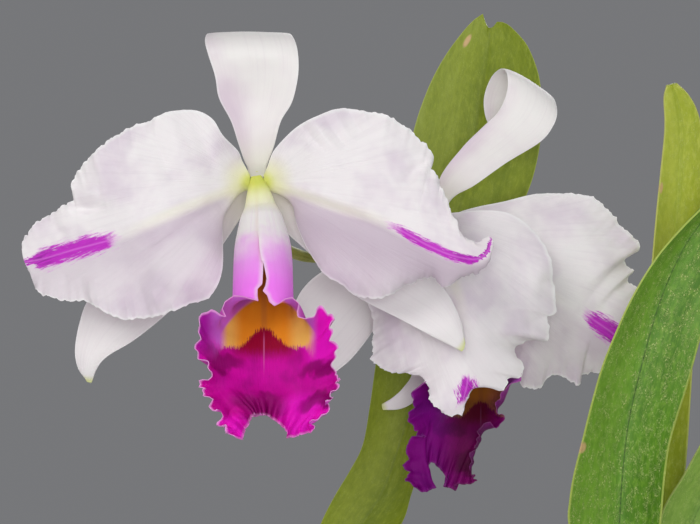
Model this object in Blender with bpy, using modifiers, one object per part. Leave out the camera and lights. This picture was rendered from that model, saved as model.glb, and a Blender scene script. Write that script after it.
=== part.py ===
"""A cattleya orchid in a clay pot: two blooms, four leaves, pseudobulbs, rhizome, bark and pot.

Metres, +Z up. The origin is the centre of the pot's flat base, +X is to the viewer's right and +Y
points away from the viewer. Petals, sepals and leaves are thin blades, lofted between the outlines of
their two margins and their midrib. An outline point is (x, y, depth): its place in the 700 by 524
photograph in pixels, and its depth along +Y in millimetres.
"""
import math
import random

import bmesh
import bpy
import numpy as np
from mathutils import Matrix, Vector

MM = 0.001

# The flower's natural spread sets the scale of the photograph in the plane of the near bloom.
FLOWER_SPAN = 0.170
FLOWER_SPAN_PIXELS = 472.0
PIXEL_SIZE = FLOWER_SPAN / FLOWER_SPAN_PIXELS
VIEW_DISTANCE = 1.0
NEAR_BLOOM_DEPTH = -0.060
PHOTO_CENTRE = (350.0, 262.0)
PHOTO_CENTRE_X = -0.0324
PHOTO_CENTRE_Z = 0.3716

# Thickness of the blades
PETAL_THICKNESS = 0.0008
SEPAL_THICKNESS = 0.0010
LIP_THICKNESS = 0.0008
LEAF_THICKNESS = 0.0018
BRACT_THICKNESS = 0.0006

# Bracts: rings of a whole pseudobulb from which the wrap takes every third point of the foot
BRACT_SIDES = 28
BRACT_RINGS = 31
BRACT_STAND_OFF = 0.0012
BRACT_FLARE = 0.0012

# Rows along a blade and columns across it
PETAL_GRID = (20, 9)
SEPAL_GRID = (13, 5)
CURLED_SEPAL_GRID = (22, 5)
LEAF_GRID = (18, 5)
LIP_COLUMNS = 18

# How sharply a blade folds along its midrib, and the waves along a petal's margins in millimetres
PETAL_CREASE = 0.25
LEAF_CREASE = 0.3
PETAL_WAVES = 5
PETAL_WAVE_HEIGHT = 1.1

# Pot and bark
POT_HEIGHT = 0.122
POT_BASE_RADIUS = 0.050
POT_TOP_RADIUS = 0.070
POT_RIM_RADIUS = 0.0745
POT_RIM_HEIGHT = 0.022
POT_WALL = 0.0055
POT_FLOOR = 0.007
POT_STEPS = 28
DRAIN_RADIUS = 0.0055
DRAIN_RING_RADIUS = 0.028
BARK_TOP = 0.1085
SEAT_GAP = 0.0003
CHIP_COUNT = 34
CHIP_SEED = 11
CHIP_SLANT = 0.4
CHIP_FIELD_RADIUS = 52
CHIP_FROM_RHIZOME = 16
CHIP_FROM_ROOT = 12.5

# Rhizome, roots and the feet of the four pseudobulbs
RHIZOME_RADIUS = 0.0048
RHIZOME_HEIGHT = BARK_TOP + SEAT_GAP + RHIZOME_RADIUS
ROOT_RADIUS = 0.0016
ROOT_HOLE_RADIUS = 0.0028
FOOT_HEIGHT = RHIZOME_HEIGHT + RHIZOME_RADIUS + 2 * SEAT_GAP

# Blooms: the receptacle, from which column, lip, petals and sepals grow
HUB_RADIUS = 0.0040
HUB_A = (257, 183, -60)
HUB_B = (430, 235, -16)

# Bloom A, the near one, facing the viewer
DORSAL_SEPAL_A = dict(
    left=[(249, 171.5, -58.5), (244, 160, -58), (238, 142, -58), (231, 121, -58), (219, 98, -59),
          (215, 76, -60), (208, 54, -60), (205, 41, -57), (208, 34, -51), (214, 44, -45),
          (225, 62, -42), (240, 78, -41)],
    middle=[(257, 171.5, -58.5), (257, 160, -57.5), (256, 143, -56.5), (256, 121, -56), (256, 98, -56.5),
            (257, 75, -59), (255, 52, -61), (251, 37, -57), (248, 33, -50), (247, 44, -44),
            (247, 62, -41), (246, 80, -40)],
    right=[(265, 171.5, -58.5), (269, 160, -58), (274, 146, -58), (281, 121, -58), (292, 102, -59),
           (298, 76, -60), (298, 54, -60), (294, 39, -57), (288, 34, -51), (280, 44, -45),
           (268, 62, -42), (253, 79, -41)])

LEFT_PETAL_A = dict(
    left=[(245, 177, -61), (239, 151, -63), (222, 135, -66), (212, 119, -67), (196, 110, -68),
          (173, 111, -68), (150, 121, -67), (128, 127, -68), (104, 145, -68), (84, 162, -67),
          (71, 184, -66), (75, 198, -66), (54, 211, -65), (33, 226, -63), (23, 241, -61),
          (22, 249, -61)],
    middle=[(245, 182, -61), (222, 193, -66), (196, 203, -71), (169, 214, -74), (140, 227, -74),
            (112, 237, -71), (75, 247, -67), (45, 256, -63), (24, 260, -61)],
    right=[(245, 188, -61), (234, 199, -62), (223, 216, -64), (224, 243, -68), (219, 281, -73),
           (207, 299, -74), (188, 305, -74), (164, 314, -73), (145, 318, -73), (124, 320, -74),
           (99, 309, -73), (84, 301, -71), (62, 301, -69), (42, 294, -66), (34, 285, -64),
           (29, 271, -62)])

RIGHT_PETAL_A = dict(
    left=[(269, 177, -61), (275, 150, -63), (284, 138, -65), (298, 126, -66), (316, 117, -67),
          (340, 108, -67), (366, 111, -67), (388, 117, -67), (410, 129, -67), (427, 145, -68),
          (430, 157, -67), (428, 165, -68), (438, 177, -70), (446, 195, -72), (451, 213, -75),
          (458, 229, -77), (467, 239, -80), (477, 242, -84), (488, 236, -88)],
    middle=[(269, 183, -61), (290, 190, -65), (316, 199, -68), (346, 209, -70), (375, 218, -72),
            (400, 229, -74), (425, 243, -77), (445, 252, -79), (462, 257, -81), (477, 258, -84),
            (487, 251, -86), (491, 238, -88)],
    right=[(269, 188, -61), (291, 203, -61.5), (298, 222, -62), (306, 249, -63), (323, 271, -64),
           (343, 286, -66), (354, 296, -67), (376, 298, -69), (398, 291, -70), (416, 283, -71),
           (433, 276, -73), (443, 285, -74), (453, 283, -76), (463, 278, -78), (472, 276, -80),
           (481, 272, -82), (488, 261, -84), (494, 242, -87.5)])

LEFT_SEPAL_A = dict(
    left=[(245, 186, -57.5), (222, 194, -56), (190, 212, -54), (150, 238, -52), (112, 268, -51),
          (88, 300, -51), (79, 325, -52), (75, 350, -53), (78, 368, -53), (87, 381, -52)],
    middle=[(248, 190, -57.5), (232, 212, -56.5), (206, 242, -55), (172, 278, -53.5),
            (138, 308, -53), (112, 332, -53), (96, 354, -53.5), (90, 370, -53.5), (89, 382, -52)],
    right=[(251, 194, -57.5), (243, 213, -57), (232, 231, -57), (206, 268, -56.5), (188, 292, -56),
           (164, 316, -56), (134, 340, -56), (109, 355, -55.5), (98, 366, -55), (92, 382, -52)])

RIGHT_SEPAL_A = dict(
    left=[(269, 186, -57.5), (292, 194, -56), (322, 206, -54), (356, 222, -52), (392, 240, -51.5),
          (420, 260, -52), (441, 285, -54), (453, 300, -55), (463, 320, -56), (467, 338, -55)],
    middle=[(266, 190, -57.5), (282, 212, -56.5), (306, 236, -55.5), (338, 258, -54.5),
            (372, 278, -54), (404, 297, -55), (430, 313, -56), (446, 326, -57), (464, 345, -55)],
    right=[(263, 194, -57.5), (273, 210, -57), (284, 229, -57), (302, 245, -57), (322, 264, -56.5),
           (342, 283, -56.5), (361, 299, -57), (400, 319, -58), (430, 335, -57.5), (461, 349, -55)])

# Bloom B, behind the near one and leaning to the right
DORSAL_SEPAL_B = dict(
    left=[(431, 223, -15), (439, 180, -17), (462, 148, -18), (484, 126, -19), (499, 111, -20),
          (507, 92, -20), (507, 74, -18), (501, 69, -12), (491, 78, -7), (484, 98, -4),
          (486, 118, -3), (494, 132, -3)],
    middle=[(435, 223, -15), (446, 190, -17), (469, 163, -18), (496, 140, -20), (520, 118, -21),
            (530, 98, -20), (529, 82, -16), (522, 80, -9), (513, 92, -4), (504, 112, -2),
            (502, 126, -2), (500, 138, -2)],
    right=[(439, 226, -15), (452, 199, -17), (475, 185, -18), (506, 163, -19), (540, 142, -20),
           (553, 126, -20), (557, 112, -18), (553, 98, -13), (544, 100, -7), (532, 112, -4),
           (520, 126, -3), (507, 143, -2)])

LEFT_PETAL_B = dict(
    left=[(420, 241, -18), (405, 250, -24), (388, 268, -27), (372, 290, -28), (368, 305, -29),
          (373, 328, -31), (375, 350, -32), (371, 362, -33), (381, 369, -34), (396, 372, -36),
          (412, 374, -39), (426, 383, -42), (430, 398, -44), (440, 411, -46), (452, 417, -46)],
    middle=[(419, 234, -18), (430, 246, -34), (446, 268, -44), (458, 295, -48), (464, 325, -49),
            (466, 355, -49), (464, 382, -48), (460, 402, -47), (457, 414, -46)],
    right=[(420, 227, -18), (430, 216, -27), (451, 213, -33), (480, 211, -35), (508, 213, -35),
           (527, 223, -35), (541, 240, -36), (550, 262, -37), (556, 290, -38), (556, 312, -39),
           (547, 315, -39), (547, 338, -40), (531, 341, -40), (517, 349, -41), (523, 366, -42),
           (521, 377, -42), (509, 377, -43), (500, 390, -44), (479, 385, -45), (467, 401, -46),
           (462, 416, -46)])

RIGHT_PETAL_B = dict(
    left=[(441, 229, -16), (451, 216, -16), (480, 206, -15), (512, 200, -13), (553, 192, -11),
          (587, 197, -10), (610, 210, -11), (628, 232, -12), (638, 245, -12), (625, 261, -12),
          (636, 269, -13), (633, 286, -14), (637, 310, -15), (634, 333, -15), (628, 347, -15)],
    middle=[(441, 235, -16), (470, 250, -18), (505, 266, -20), (540, 287, -21), (572, 308, -20),
            (597, 325, -18), (615, 338, -17), (624, 350, -15)],
    right=[(441, 240, -16), (455, 272, -15), (474, 306, -14), (492, 340, -13), (505, 365, -13),
           (521, 384, -13), (540, 388, -14), (551, 377, -14), (565, 377, -14), (579, 385, -15),
           (582, 375, -15), (598, 374, -15), (612, 366, -15), (620, 355, -15)])

LEFT_SEPAL_B = dict(
    left=[(417.5, 237, -14), (400, 243, -17), (377, 251, -20), (350, 259, -23), (323, 271, -26),
          (302, 290, -28), (290, 318, -28), (287, 350, -28), (291, 376, -27), (295, 388, -26)],
    middle=[(419.5, 241, -14), (402, 262, -18), (378, 282, -21), (355, 303, -24), (335, 326, -26),
            (318, 350, -27), (305, 374, -27), (298, 392, -26)],
    right=[(422.5, 245.5, -14), (411, 270, -18), (394, 297, -20), (378, 322, -22), (368, 338, -24),
           (352, 358, -26), (337, 371, -27), (320, 384, -27), (303, 395, -26)])

RIGHT_SEPAL_B = dict(
    left=[(427, 246, -14), (420, 270, -12), (408, 300, -10), (400, 330, -9), (393, 355, -10),
          (388, 375, -11), (384, 392, -12), (382, 402, -12)],
    middle=[(431, 246, -14), (432, 275, -11), (429, 310, -8), (423, 340, -8), (416, 365, -9),
            (405, 385, -11), (394, 399, -12), (384, 406, -12)],
    right=[(435, 246, -14), (446, 275, -11), (450, 310, -8), (448, 340, -8), (440, 368, -9),
           (425, 392, -11), (408, 407, -12), (387, 411, -12)])

# Lips: the route of the floor's midline from the receptacle, as (x, y, z) in millimetres
LIP_FLOOR_A = [(0, -1.5, -4.6), (0, -1, -10), (0, -5, -23), (0, -12, -38), (0, -17, -46),
               (0, -21, -52), (0, -26, -60), (1, -31, -69), (1, -36, -81), (1, -39, -93)]
LIP_FLOOR_B = [(0, -1.5, -4.6), (1, -1.5, -10), (5, -3, -22), (10, -5, -36), (13, -7, -44),
               (14.5, -9, -50), (14, -12, -58), (11, -16, -67), (6, -20, -79), (2, -23, -91)]
LIP_SCALE_B = 0.80

# Leaves, each as if seen in the photograph
BACK_LEAF = dict(
    left=[(317, 624, 4), (309, 590, 4), (311, 555, 4), (321, 524, 4), (335, 496, 4), (350, 471, 4),
          (363, 445, 5), (370, 407, 6), (375, 371, 7), (384, 310, 9), (396, 240, 11), (405, 180, 13),
          (414, 130, 15), (428, 89, 17), (444, 58, 18), (462, 33, 19), (474, 20, 19), (483, 14, 19)],
    middle=[(321, 625, 3), (328, 590, 1), (343, 555, 0), (361, 524, 0), (381, 494, 0), (396, 455, 1),
            (408, 415, 2), (418, 371, 3), (436, 310, 5), (452, 240, 8), (466, 180, 11),
            (476, 130, 13), (482, 89, 15), (487, 58, 17), (489, 42, 18), (489, 28, 18)],
    right=[(325, 626, 4), (345, 592, 4), (372, 560, 4), (401, 524, 4), (411, 494, 4), (424, 455, 5),
           (438, 415, 6), (454, 371, 7), (476, 310, 9), (504, 240, 11), (526, 196, 13),
           (536, 165, 15), (541, 130, 16), (540, 83, 18), (529, 49, 19), (515, 31, 19),
           (505, 23, 19), (497, 22, 19)])

FRONT_LEAF = dict(
    left=[(612, 622, -58), (596, 600, -61), (580, 565, -63), (569, 524, -64), (570, 500, -64),
          (574, 475, -64), (582, 443, -63), (592, 403, -62), (603, 365, -61), (618, 328, -60),
          (629, 304, -59), (644, 277, -58), (661, 252, -56), (682, 228, -54), (699, 211, -52),
          (714, 196, -49), (727, 180, -46)],
    middle=[(617, 623, -57), (618, 595, -53), (619, 560, -51), (619, 524, -50), (622, 475, -50),
            (629, 417, -50), (644, 354, -50), (655, 315, -49), (667, 281, -48), (684, 246, -46),
            (700, 222, -45), (716, 200, -44), (731, 183, -44)],
    right=[(622, 622, -58), (640, 600, -60), (655, 560, -61), (661, 516, -62), (664, 481, -62),
           (669, 446, -61), (677, 417, -60), (687, 386, -59), (700, 339, -57), (711, 300, -54),
           (722, 262, -51), (731, 228, -48), (737, 202, -46), (736, 185, -45)])

PALE_LEAF = dict(
    left=[(645, 600, -22), (640, 560, -23), (640, 480, -24), (643, 400, -24), (647, 330, -23),
          (652, 267, -22), (655, 232, -21), (658, 200, -20), (661, 171, -19), (665, 128, -18),
          (664, 98, -18), (667, 86, -18)],
    middle=[(650, 601, -21), (656, 560, -19), (662, 480, -18), (666, 400, -18), (669, 330, -17),
            (673, 267, -16), (677, 220, -15), (680, 171, -15), (681, 128, -15), (677, 102, -16),
            (671, 84, -17)],
    right=[(655, 600, -22), (674, 560, -23), (684, 480, -24), (690, 400, -24), (694, 330, -23),
           (698, 267, -22), (701, 210, -21), (703, 165, -19), (701, 128, -18), (696, 108, -18),
           (687, 93, -18), (677, 84, -18)])

LOW_LEAF = dict(
    left=[(667, 638, -45), (658, 600, -46), (656, 560, -46), (660, 524, -45), (666, 504, -44),
          (684, 475, -43), (700, 446, -41), (720, 415, -38), (742, 388, -35), (760, 368, -32),
          (773, 353, -30)],
    middle=[(672, 640, -44), (676, 600, -40), (682, 560, -38), (690, 530, -37), (702, 500, -36),
            (720, 468, -34), (740, 440, -32), (758, 412, -30), (770, 388, -29), (780, 353, -29)],
    right=[(677, 639, -45), (694, 604, -45), (708, 570, -45), (722, 540, -44), (738, 508, -42),
           (756, 476, -39), (772, 446, -37), (784, 416, -35), (790, 390, -33), (790, 368, -31),
           (786, 353, -30)])

# Pseudobulbs: the foot on the rhizome (x, y) in millimetres, and the apex as a photograph point
PSEUDOBULBS = dict(
    back=dict(foot=(-30, 8), apex=(321, 627.3, 6), girth=11.0),
    front=dict(foot=(20, -24), apex=(617, 624.4, -56), girth=11.5),
    pale=dict(foot=(38, 8), apex=(650, 602.4, -20), girth=10.5),
    low=dict(foot=(46, -19), apex=(672, 641.4, -43), girth=10.0))
RHIZOME_ROUTE = [(-48, 17), (-30, 8), (-5, -9), (20, -24), (34, -25), (46, -19), (52, -13)]
RHIZOME_BRANCH = [(20, -24), (30, -9), (38, 8), (40, 14)]
ROOT_ENDS = [((-38, 12), (-44, -4)), ((-20, 1), (-24, -18)), ((-2, -11), (6, -36)), ((-10, -5), (-2, 14)),
             ((28, -25), (30, -44)), ((34, 0), (20, 14))]

# Flower stalk, as photograph points with a depth
STALK_ROUTE = [(324, 623.2, 9.8), (338, 580, 13), (360, 524, 14), (380, 470, 15), (389, 420, 16),
               (391, 375, 17), (388, 340, 18), (380, 312, 18), (371, 293, 14), (366, 280, 8)]
PEDICEL_A_ROUTE = [(366, 280, 8), (356, 270, 0), (339, 262, -9), (320, 258, -19), (299, 255, -30),
                   (277, 243, -42), (262, 214, -50), (257.5, 190.2, -56.1)]
PEDICEL_B_ROUTE = [(366, 280, 8), (374, 268, 2), (388, 258, -3), (408, 250, -6), (420, 243, -9),
                   (427, 239.3, -11.7)]
STALK_RADIUS = 0.0026
PEDICEL_RADIUS = 0.0020


def from_photo(point):
    """World place of a photograph point (x, y in pixels, depth in millimetres)."""
    x, y, depth = point
    size = PIXEL_SIZE * (VIEW_DISTANCE + depth * MM - NEAR_BLOOM_DEPTH) / VIEW_DISTANCE
    return (PHOTO_CENTRE_X + (x - PHOTO_CENTRE[0]) * size, depth * MM,
            PHOTO_CENTRE_Z + (PHOTO_CENTRE[1] - y) * size)


def smooth_line(points, fractions):
    """Points at the given fractions of the length of a smooth line through the given points."""
    knots = np.array(points, dtype=float)
    ends = np.vstack([2 * knots[0] - knots[1], knots, 2 * knots[-1] - knots[-2]])
    t = np.linspace(0, 1, 16, endpoint=False)[:, None]
    pieces = []
    for a, b, c, d in zip(ends, ends[1:], ends[2:], ends[3:]):
        pieces.append(0.5 * (2 * b + (c - a) * t + (2 * a - 5 * b + 4 * c - d) * t ** 2
                             + (3 * b - a - 3 * c + d) * t ** 3))
    fine = np.vstack(pieces + [knots[-1:]])
    steps = np.linalg.norm(np.diff(fine, axis=0), axis=1)
    length = np.concatenate([[0], np.cumsum(steps)])
    at = np.asarray(fractions) * length[-1]
    return np.stack([np.interp(at, length, fine[:, axis]) for axis in range(3)], axis=-1)


def unit(vectors):
    return vectors / np.maximum(np.linalg.norm(vectors, axis=-1, keepdims=True), 1e-12)


def grid_normals(points):
    """Unit normals of a grid of points."""
    along = np.gradient(points, axis=0)
    across = np.gradient(points, axis=1)
    return unit(np.cross(across, along))


def blade_points(outline, rows, columns, crease=0.0, ruffle=(0, 0, 0)):
    """Grid of a blade between its margins; ruffle is (waves, height in mm, phase)."""
    u = np.linspace(0, 1, rows + 1)
    v = np.linspace(0, 1, columns + 1)[None, :, None]
    left, middle, right = (smooth_line([from_photo(p) for p in outline[side]], u)[:, None, :]
                           for side in ("left", "middle", "right"))
    arched = left * (1 - v) * (1 - 2 * v) + middle * 4 * v * (1 - v) + right * v * (2 * v - 1)
    folded = np.where(v < 0.5, left + (middle - left) * 2 * v, middle + (right - middle) * (2 * v - 1))
    points = arched * (1 - crease) + folded * crease
    waves, height, phase = ruffle
    side = np.linspace(-1, 1, columns + 1)[None, :]
    swing = np.sin(2 * math.pi * waves * u[:, None] + phase + 1.3 * np.sign(side))
    lift = height * MM * swing * np.abs(side) ** 2 * np.sin(math.pi * u[:, None]) ** 0.5
    return points + grid_normals(points) * lift[..., None]


# Lip shape at stations along the floor: place, radius in mm and half angle of the section
LIP_STATIONS = [(0.00, 4.5, 3.08), (0.12, 5.8, 3.08), (0.25, 8.0, 3.08), (0.38, 10.2, 3.08),
                (0.44, 10.8, 3.05), (0.475, 11.0, 2.90), (0.50, 11.5, 2.50), (0.525, 12.5, 1.95),
                (0.545, 14.0, 1.60), (0.565, 20.0, 1.38), (0.60, 28.0, 1.05), (0.70, 37.0, 0.74),
                (0.85, 37.0, 0.67), (1.00, 35.0, 0.52)]
LIP_ROWS = [0, 0.07, 0.15, 0.24, 0.33, 0.40, 0.45, 0.48, 0.505, 0.53, 0.55, 0.57, 0.60, 0.64, 0.69,
            0.75, 0.81, 0.87, 0.935, 1]
LIP_NOTCH_DEPTH = 0.085
LIP_NOTCH_WIDTH = 0.26
LIP_FRILL = 1.5


def lip_section(floor, station):
    """Floor point, side and upward directions of the lip at each station."""
    here = smooth_line(floor, station)
    ahead = smooth_line(floor, np.clip(station + 0.01, 0, 1))
    behind = smooth_line(floor, np.clip(station - 0.01, 0, 1))
    along = unit(ahead - behind)
    side = unit(np.stack([-along[..., 2], np.zeros_like(station), along[..., 0]], axis=-1))
    return here, side, np.cross(along, side)


def lip_points(hub, floor, scale, rows, columns, phase):
    """Grid of a lip: a tube of two side lobes that opens into a frilled front lobe."""
    across = np.linspace(-1, 1, columns + 1)[None, :]
    station = np.interp(np.linspace(0, 1, rows + 1), np.linspace(0, 1, len(LIP_ROWS)), LIP_ROWS)[:, None]
    front = np.clip((station - 0.56) / 0.44, 0, 1)
    notch = LIP_NOTCH_DEPTH * np.exp(-((across - 0.05) / LIP_NOTCH_WIDTH) ** 2)
    station = station - notch * front ** 2
    places, radii, angles = zip(*LIP_STATIONS)
    radius = np.interp(station, places, radii) * scale
    angle = np.interp(station, places, angles) * across
    here, side, up = lip_section(floor, station)
    swing = np.sin(2 * math.pi * 5 * station + phase) + np.sin(2 * math.pi * 2.6 * across - phase)
    frill = LIP_FRILL * scale * swing * front * np.clip(np.abs(across) ** 3 + front ** 3, 0, 1)
    rise = radius * (1 - np.cos(angle)) + frill
    points = here + side * (radius * np.sin(angle))[..., None] + up * rise[..., None]
    return np.array(from_photo(hub)) + points * MM


def material(name, colour, roughness):
    shader = bpy.data.materials.new(name)
    shader.use_nodes = True
    settings = shader.node_tree.nodes["Principled BSDF"].inputs
    settings["Base Color"].default_value = (*colour, 1)
    settings["Roughness"].default_value = roughness
    settings["Metallic"].default_value = 0.0
    return shader


def add_object(name, mesh, finish, collection="cattleya_orchid"):
    """Put a mesh in the scene as a named object with its material."""
    if collection not in bpy.data.collections:
        bpy.context.scene.collection.children.link(bpy.data.collections.new(collection))
    item = bpy.data.objects.new(name, mesh)
    bpy.data.collections[collection].objects.link(item)
    mesh.materials.clear()
    mesh.materials.append(finish)
    mesh.shade_smooth()
    return item


def sheet_mesh(name, points):
    """Open surface of a grid of points, in triangles."""
    rows, columns = points.shape[:2]
    index = np.arange(rows * columns).reshape(rows, columns)
    faces = []
    for row in range(rows - 1):
        for column in range(columns - 1):
            a, b = index[row, column], index[row, column + 1]
            c, d = index[row + 1, column + 1], index[row + 1, column]
            faces += [(a, b, c), (a, c, d)] if (row + column) % 2 else [(a, b, d), (b, c, d)]
    mesh = bpy.data.meshes.new(name)
    mesh.from_pydata(points.reshape(-1, 3).tolist(), [], [tuple(int(i) for i in face) for face in faces])
    return mesh


def add_sheet(name, points, thickness, finish):
    """Thin solid of a grid of points, thickened evenly to both sides."""
    item = add_object(name, sheet_mesh(name, points), finish)
    shell = item.modifiers.new("thickness", "SOLIDIFY")
    shell.thickness = thickness
    shell.offset = 0
    return item


def ringed_mesh(name, rings):
    """Closed body of rings of points with flat ends."""
    count, sides = rings.shape[:2]
    mesh = bpy.data.meshes.new(name)
    form = bmesh.new()
    verts = [[form.verts.new(point) for point in ring] for ring in rings]
    for low, high in zip(verts, verts[1:]):
        for i in range(sides):
            j = (i + 1) % sides
            form.faces.new((low[i], low[j], high[j], high[i]))
    form.faces.new(reversed(verts[0]))
    form.faces.new(verts[-1])
    form.to_mesh(mesh)
    form.free()
    return mesh


def tube_mesh(name, points, radii, resolution=2):
    """Mesh of a tube with a radius at each point, from a bevelled curve with filled caps."""
    data = bpy.data.curves.new(name, "CURVE")
    data.dimensions = "3D"
    data.bevel_depth = 1.0
    data.bevel_resolution = resolution
    data.use_fill_caps = True
    line = data.splines.new("POLY")
    line.points.add(len(points) - 1)
    for spot, point, radius in zip(line.points, points, radii):
        spot.co = (*point, 1)
        spot.radius = radius
    holder = bpy.data.objects.new(name, data)
    bpy.context.scene.collection.objects.link(holder)
    bpy.context.view_layer.update()
    mesh = bpy.data.meshes.new_from_object(holder.evaluated_get(bpy.context.evaluated_depsgraph_get()))
    bpy.data.objects.remove(holder)
    form = bmesh.new()
    form.from_mesh(mesh)
    bmesh.ops.remove_doubles(form, verts=form.verts, dist=1e-5)
    form.to_mesh(mesh)
    form.free()
    return mesh


def apply_modifiers(item):
    """Replace the object's mesh by its evaluated one."""
    bpy.context.view_layer.update()
    depsgraph = bpy.context.evaluated_depsgraph_get()
    mesh = bpy.data.meshes.new_from_object(item.evaluated_get(depsgraph))
    item.modifiers.clear()
    item.data = mesh


def join_meshes(item, meshes, operation="UNION"):
    """Join the meshes to the object, or cut them from it, in one Boolean, and apply it."""
    helpers = bpy.data.collections.new(item.name + "_cutters")
    bpy.context.scene.collection.children.link(helpers)
    for mesh in meshes:
        helper = bpy.data.objects.new(mesh.name, mesh)
        helper.hide_render = True
        helper.display_type = "WIRE"
        helpers.objects.link(helper)
    cut = item.modifiers.new("boolean", "BOOLEAN")
    cut.operand_type = "COLLECTION"
    cut.collection = helpers
    cut.operation = operation
    cut.solver = "EXACT"
    apply_modifiers(item)
    for helper in list(helpers.objects):
        bpy.data.objects.remove(helper)
    bpy.data.collections.remove(helpers)


def ball_mesh(name, centre, radii):
    """Ellipsoid with the given radii along X, Y and Z."""
    mesh = bpy.data.meshes.new(name)
    form = bmesh.new()
    place = Matrix.Translation(centre) @ Matrix.Diagonal((*radii, 1))
    bmesh.ops.create_uvsphere(form, u_segments=10, v_segments=6, radius=1, matrix=place)
    form.to_mesh(mesh)
    form.free()
    return mesh


def turned_object(name, profile, steps, finish):
    """Turned body: the profile (radius, height) swept once around the Z axis."""
    mesh = bpy.data.meshes.new(name)
    edges = [(i, i + 1) for i in range(len(profile) - 1)]
    mesh.from_pydata([(radius, 0, height) for radius, height in profile], edges, [])
    item = add_object(name, mesh, finish)
    turn = item.modifiers.new("turn", "SCREW")
    turn.steps = steps
    turn.render_steps = steps
    turn.use_merge_vertices = True
    turn.merge_threshold = 0.00001
    return item


def cylinder_mesh(name, x, y, low, high, radius, sides=12):
    mesh = bpy.data.meshes.new(name)
    form = bmesh.new()
    place = Matrix.Translation((x, y, (low + high) / 2))
    bmesh.ops.create_cone(form, cap_ends=True, segments=sides, radius1=radius, radius2=radius,
                          depth=high - low, matrix=place)
    form.to_mesh(mesh)
    form.free()
    return mesh


def pot_inner_radius(height):
    """Radius of the pot's inner wall at a height."""
    share = (height - POT_FLOOR) / (POT_HEIGHT - POT_FLOOR)
    return POT_BASE_RADIUS + (POT_TOP_RADIUS - POT_BASE_RADIUS) * share - POT_WALL


def make_pot(finish):
    rim_low = POT_HEIGHT - POT_RIM_HEIGHT
    lip = 0.0015
    profile = [(0, POT_FLOOR), (pot_inner_radius(POT_FLOOR), POT_FLOOR),
               (pot_inner_radius(rim_low), rim_low), (pot_inner_radius(POT_HEIGHT), POT_HEIGHT - lip),
               (pot_inner_radius(POT_HEIGHT) + lip, POT_HEIGHT), (POT_RIM_RADIUS - lip, POT_HEIGHT),
               (POT_RIM_RADIUS, POT_HEIGHT - lip), (POT_RIM_RADIUS - 0.0012, rim_low + lip),
               (POT_RIM_RADIUS - 0.003, rim_low), (POT_TOP_RADIUS - 0.004, rim_low),
               (POT_BASE_RADIUS + lip, lip), (POT_BASE_RADIUS, 0), (0, 0)]
    pot = turned_object("pot", profile, POT_STEPS, finish)
    apply_modifiers(pot)
    drains = []
    for number in range(3):
        turn = 2 * math.pi * number / 3 + 0.5
        drains.append(cylinder_mesh("drain", DRAIN_RING_RADIUS * math.cos(turn),
                                    DRAIN_RING_RADIUS * math.sin(turn), -0.01, 0.02, DRAIN_RADIUS))
    join_meshes(pot, drains, "DIFFERENCE")


def clearance(x, y, route):
    """Distance in mm from a point to a route over the bark."""
    nearest = 1e9
    for (ax, ay), (bx, by) in zip(route, route[1:]):
        run = Vector((bx - ax, by - ay))
        share = max(0, min(1, Vector((x - ax, y - ay)).dot(run) / run.length_squared))
        nearest = min(nearest, (Vector((ax, ay)) + run * share - Vector((x, y))).length)
    return nearest


def chip_mesh(draw, x, y):
    """One bark chip: a block with uneven corners, lying at a random slant."""
    half = Vector((draw.uniform(5, 9), draw.uniform(3.5, 5.5), draw.uniform(2.2, 3.4))) * MM
    mesh = bpy.data.meshes.new("chip")
    form = bmesh.new()
    bmesh.ops.create_cube(form, size=2)
    for corner in form.verts:
        corner.co = Vector(c * h * draw.uniform(0.72, 1.0) for c, h in zip(corner.co, half))
    turn = Matrix.Rotation(draw.uniform(0, math.pi), 4, "Z")
    slant = Matrix.Rotation(draw.uniform(-CHIP_SLANT, CHIP_SLANT), 4, "X")
    place = Matrix.Translation((x * MM, y * MM, BARK_TOP + draw.uniform(-0.6, 0.6) * MM)) @ turn @ slant
    bmesh.ops.transform(form, matrix=place, verts=form.verts)
    form.to_mesh(mesh)
    form.free()
    return mesh


def make_bark(finish):
    """Bark in the pot: a packed body with chips on top and a plain hole for each root."""
    edge = BARK_TOP - 0.003
    low = POT_FLOOR + SEAT_GAP
    profile = [(0, BARK_TOP), (0.052, BARK_TOP), (pot_inner_radius(edge) - SEAT_GAP, edge),
               (pot_inner_radius(low) - SEAT_GAP, low), (0, low)]
    bark = turned_object("potting_bark", profile, POT_STEPS, finish)
    apply_modifiers(bark)
    draw = random.Random(CHIP_SEED)
    stems = [RHIZOME_ROUTE, RHIZOME_BRANCH]
    chips = []
    while len(chips) < CHIP_COUNT:
        turn = draw.uniform(0, 2 * math.pi)
        reach = CHIP_FIELD_RADIUS * math.sqrt(draw.uniform(0, 1))
        x, y = reach * math.cos(turn), reach * math.sin(turn)
        if min(clearance(x, y, route) for route in stems) < CHIP_FROM_RHIZOME:
            continue
        if min(clearance(x, y, route) for route in ROOT_ENDS) < CHIP_FROM_ROOT:
            continue
        chips.append(chip_mesh(draw, x, y))
    join_meshes(bark, chips)
    holes = [cylinder_mesh("root_hole", x * MM, y * MM, BARK_TOP - 0.014, BARK_TOP + 0.02,
                           ROOT_HOLE_RADIUS, 10) for _, (x, y) in ROOT_ENDS]
    join_meshes(bark, holes, "DIFFERENCE")


def level_route(route, count):
    """Points of a smooth line at the rhizome's height through (x, y) points in millimetres."""
    spots = [(x * MM, y * MM, RHIZOME_HEIGHT) for x, y in route]
    return smooth_line(spots, np.linspace(0, 1, count))


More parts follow.
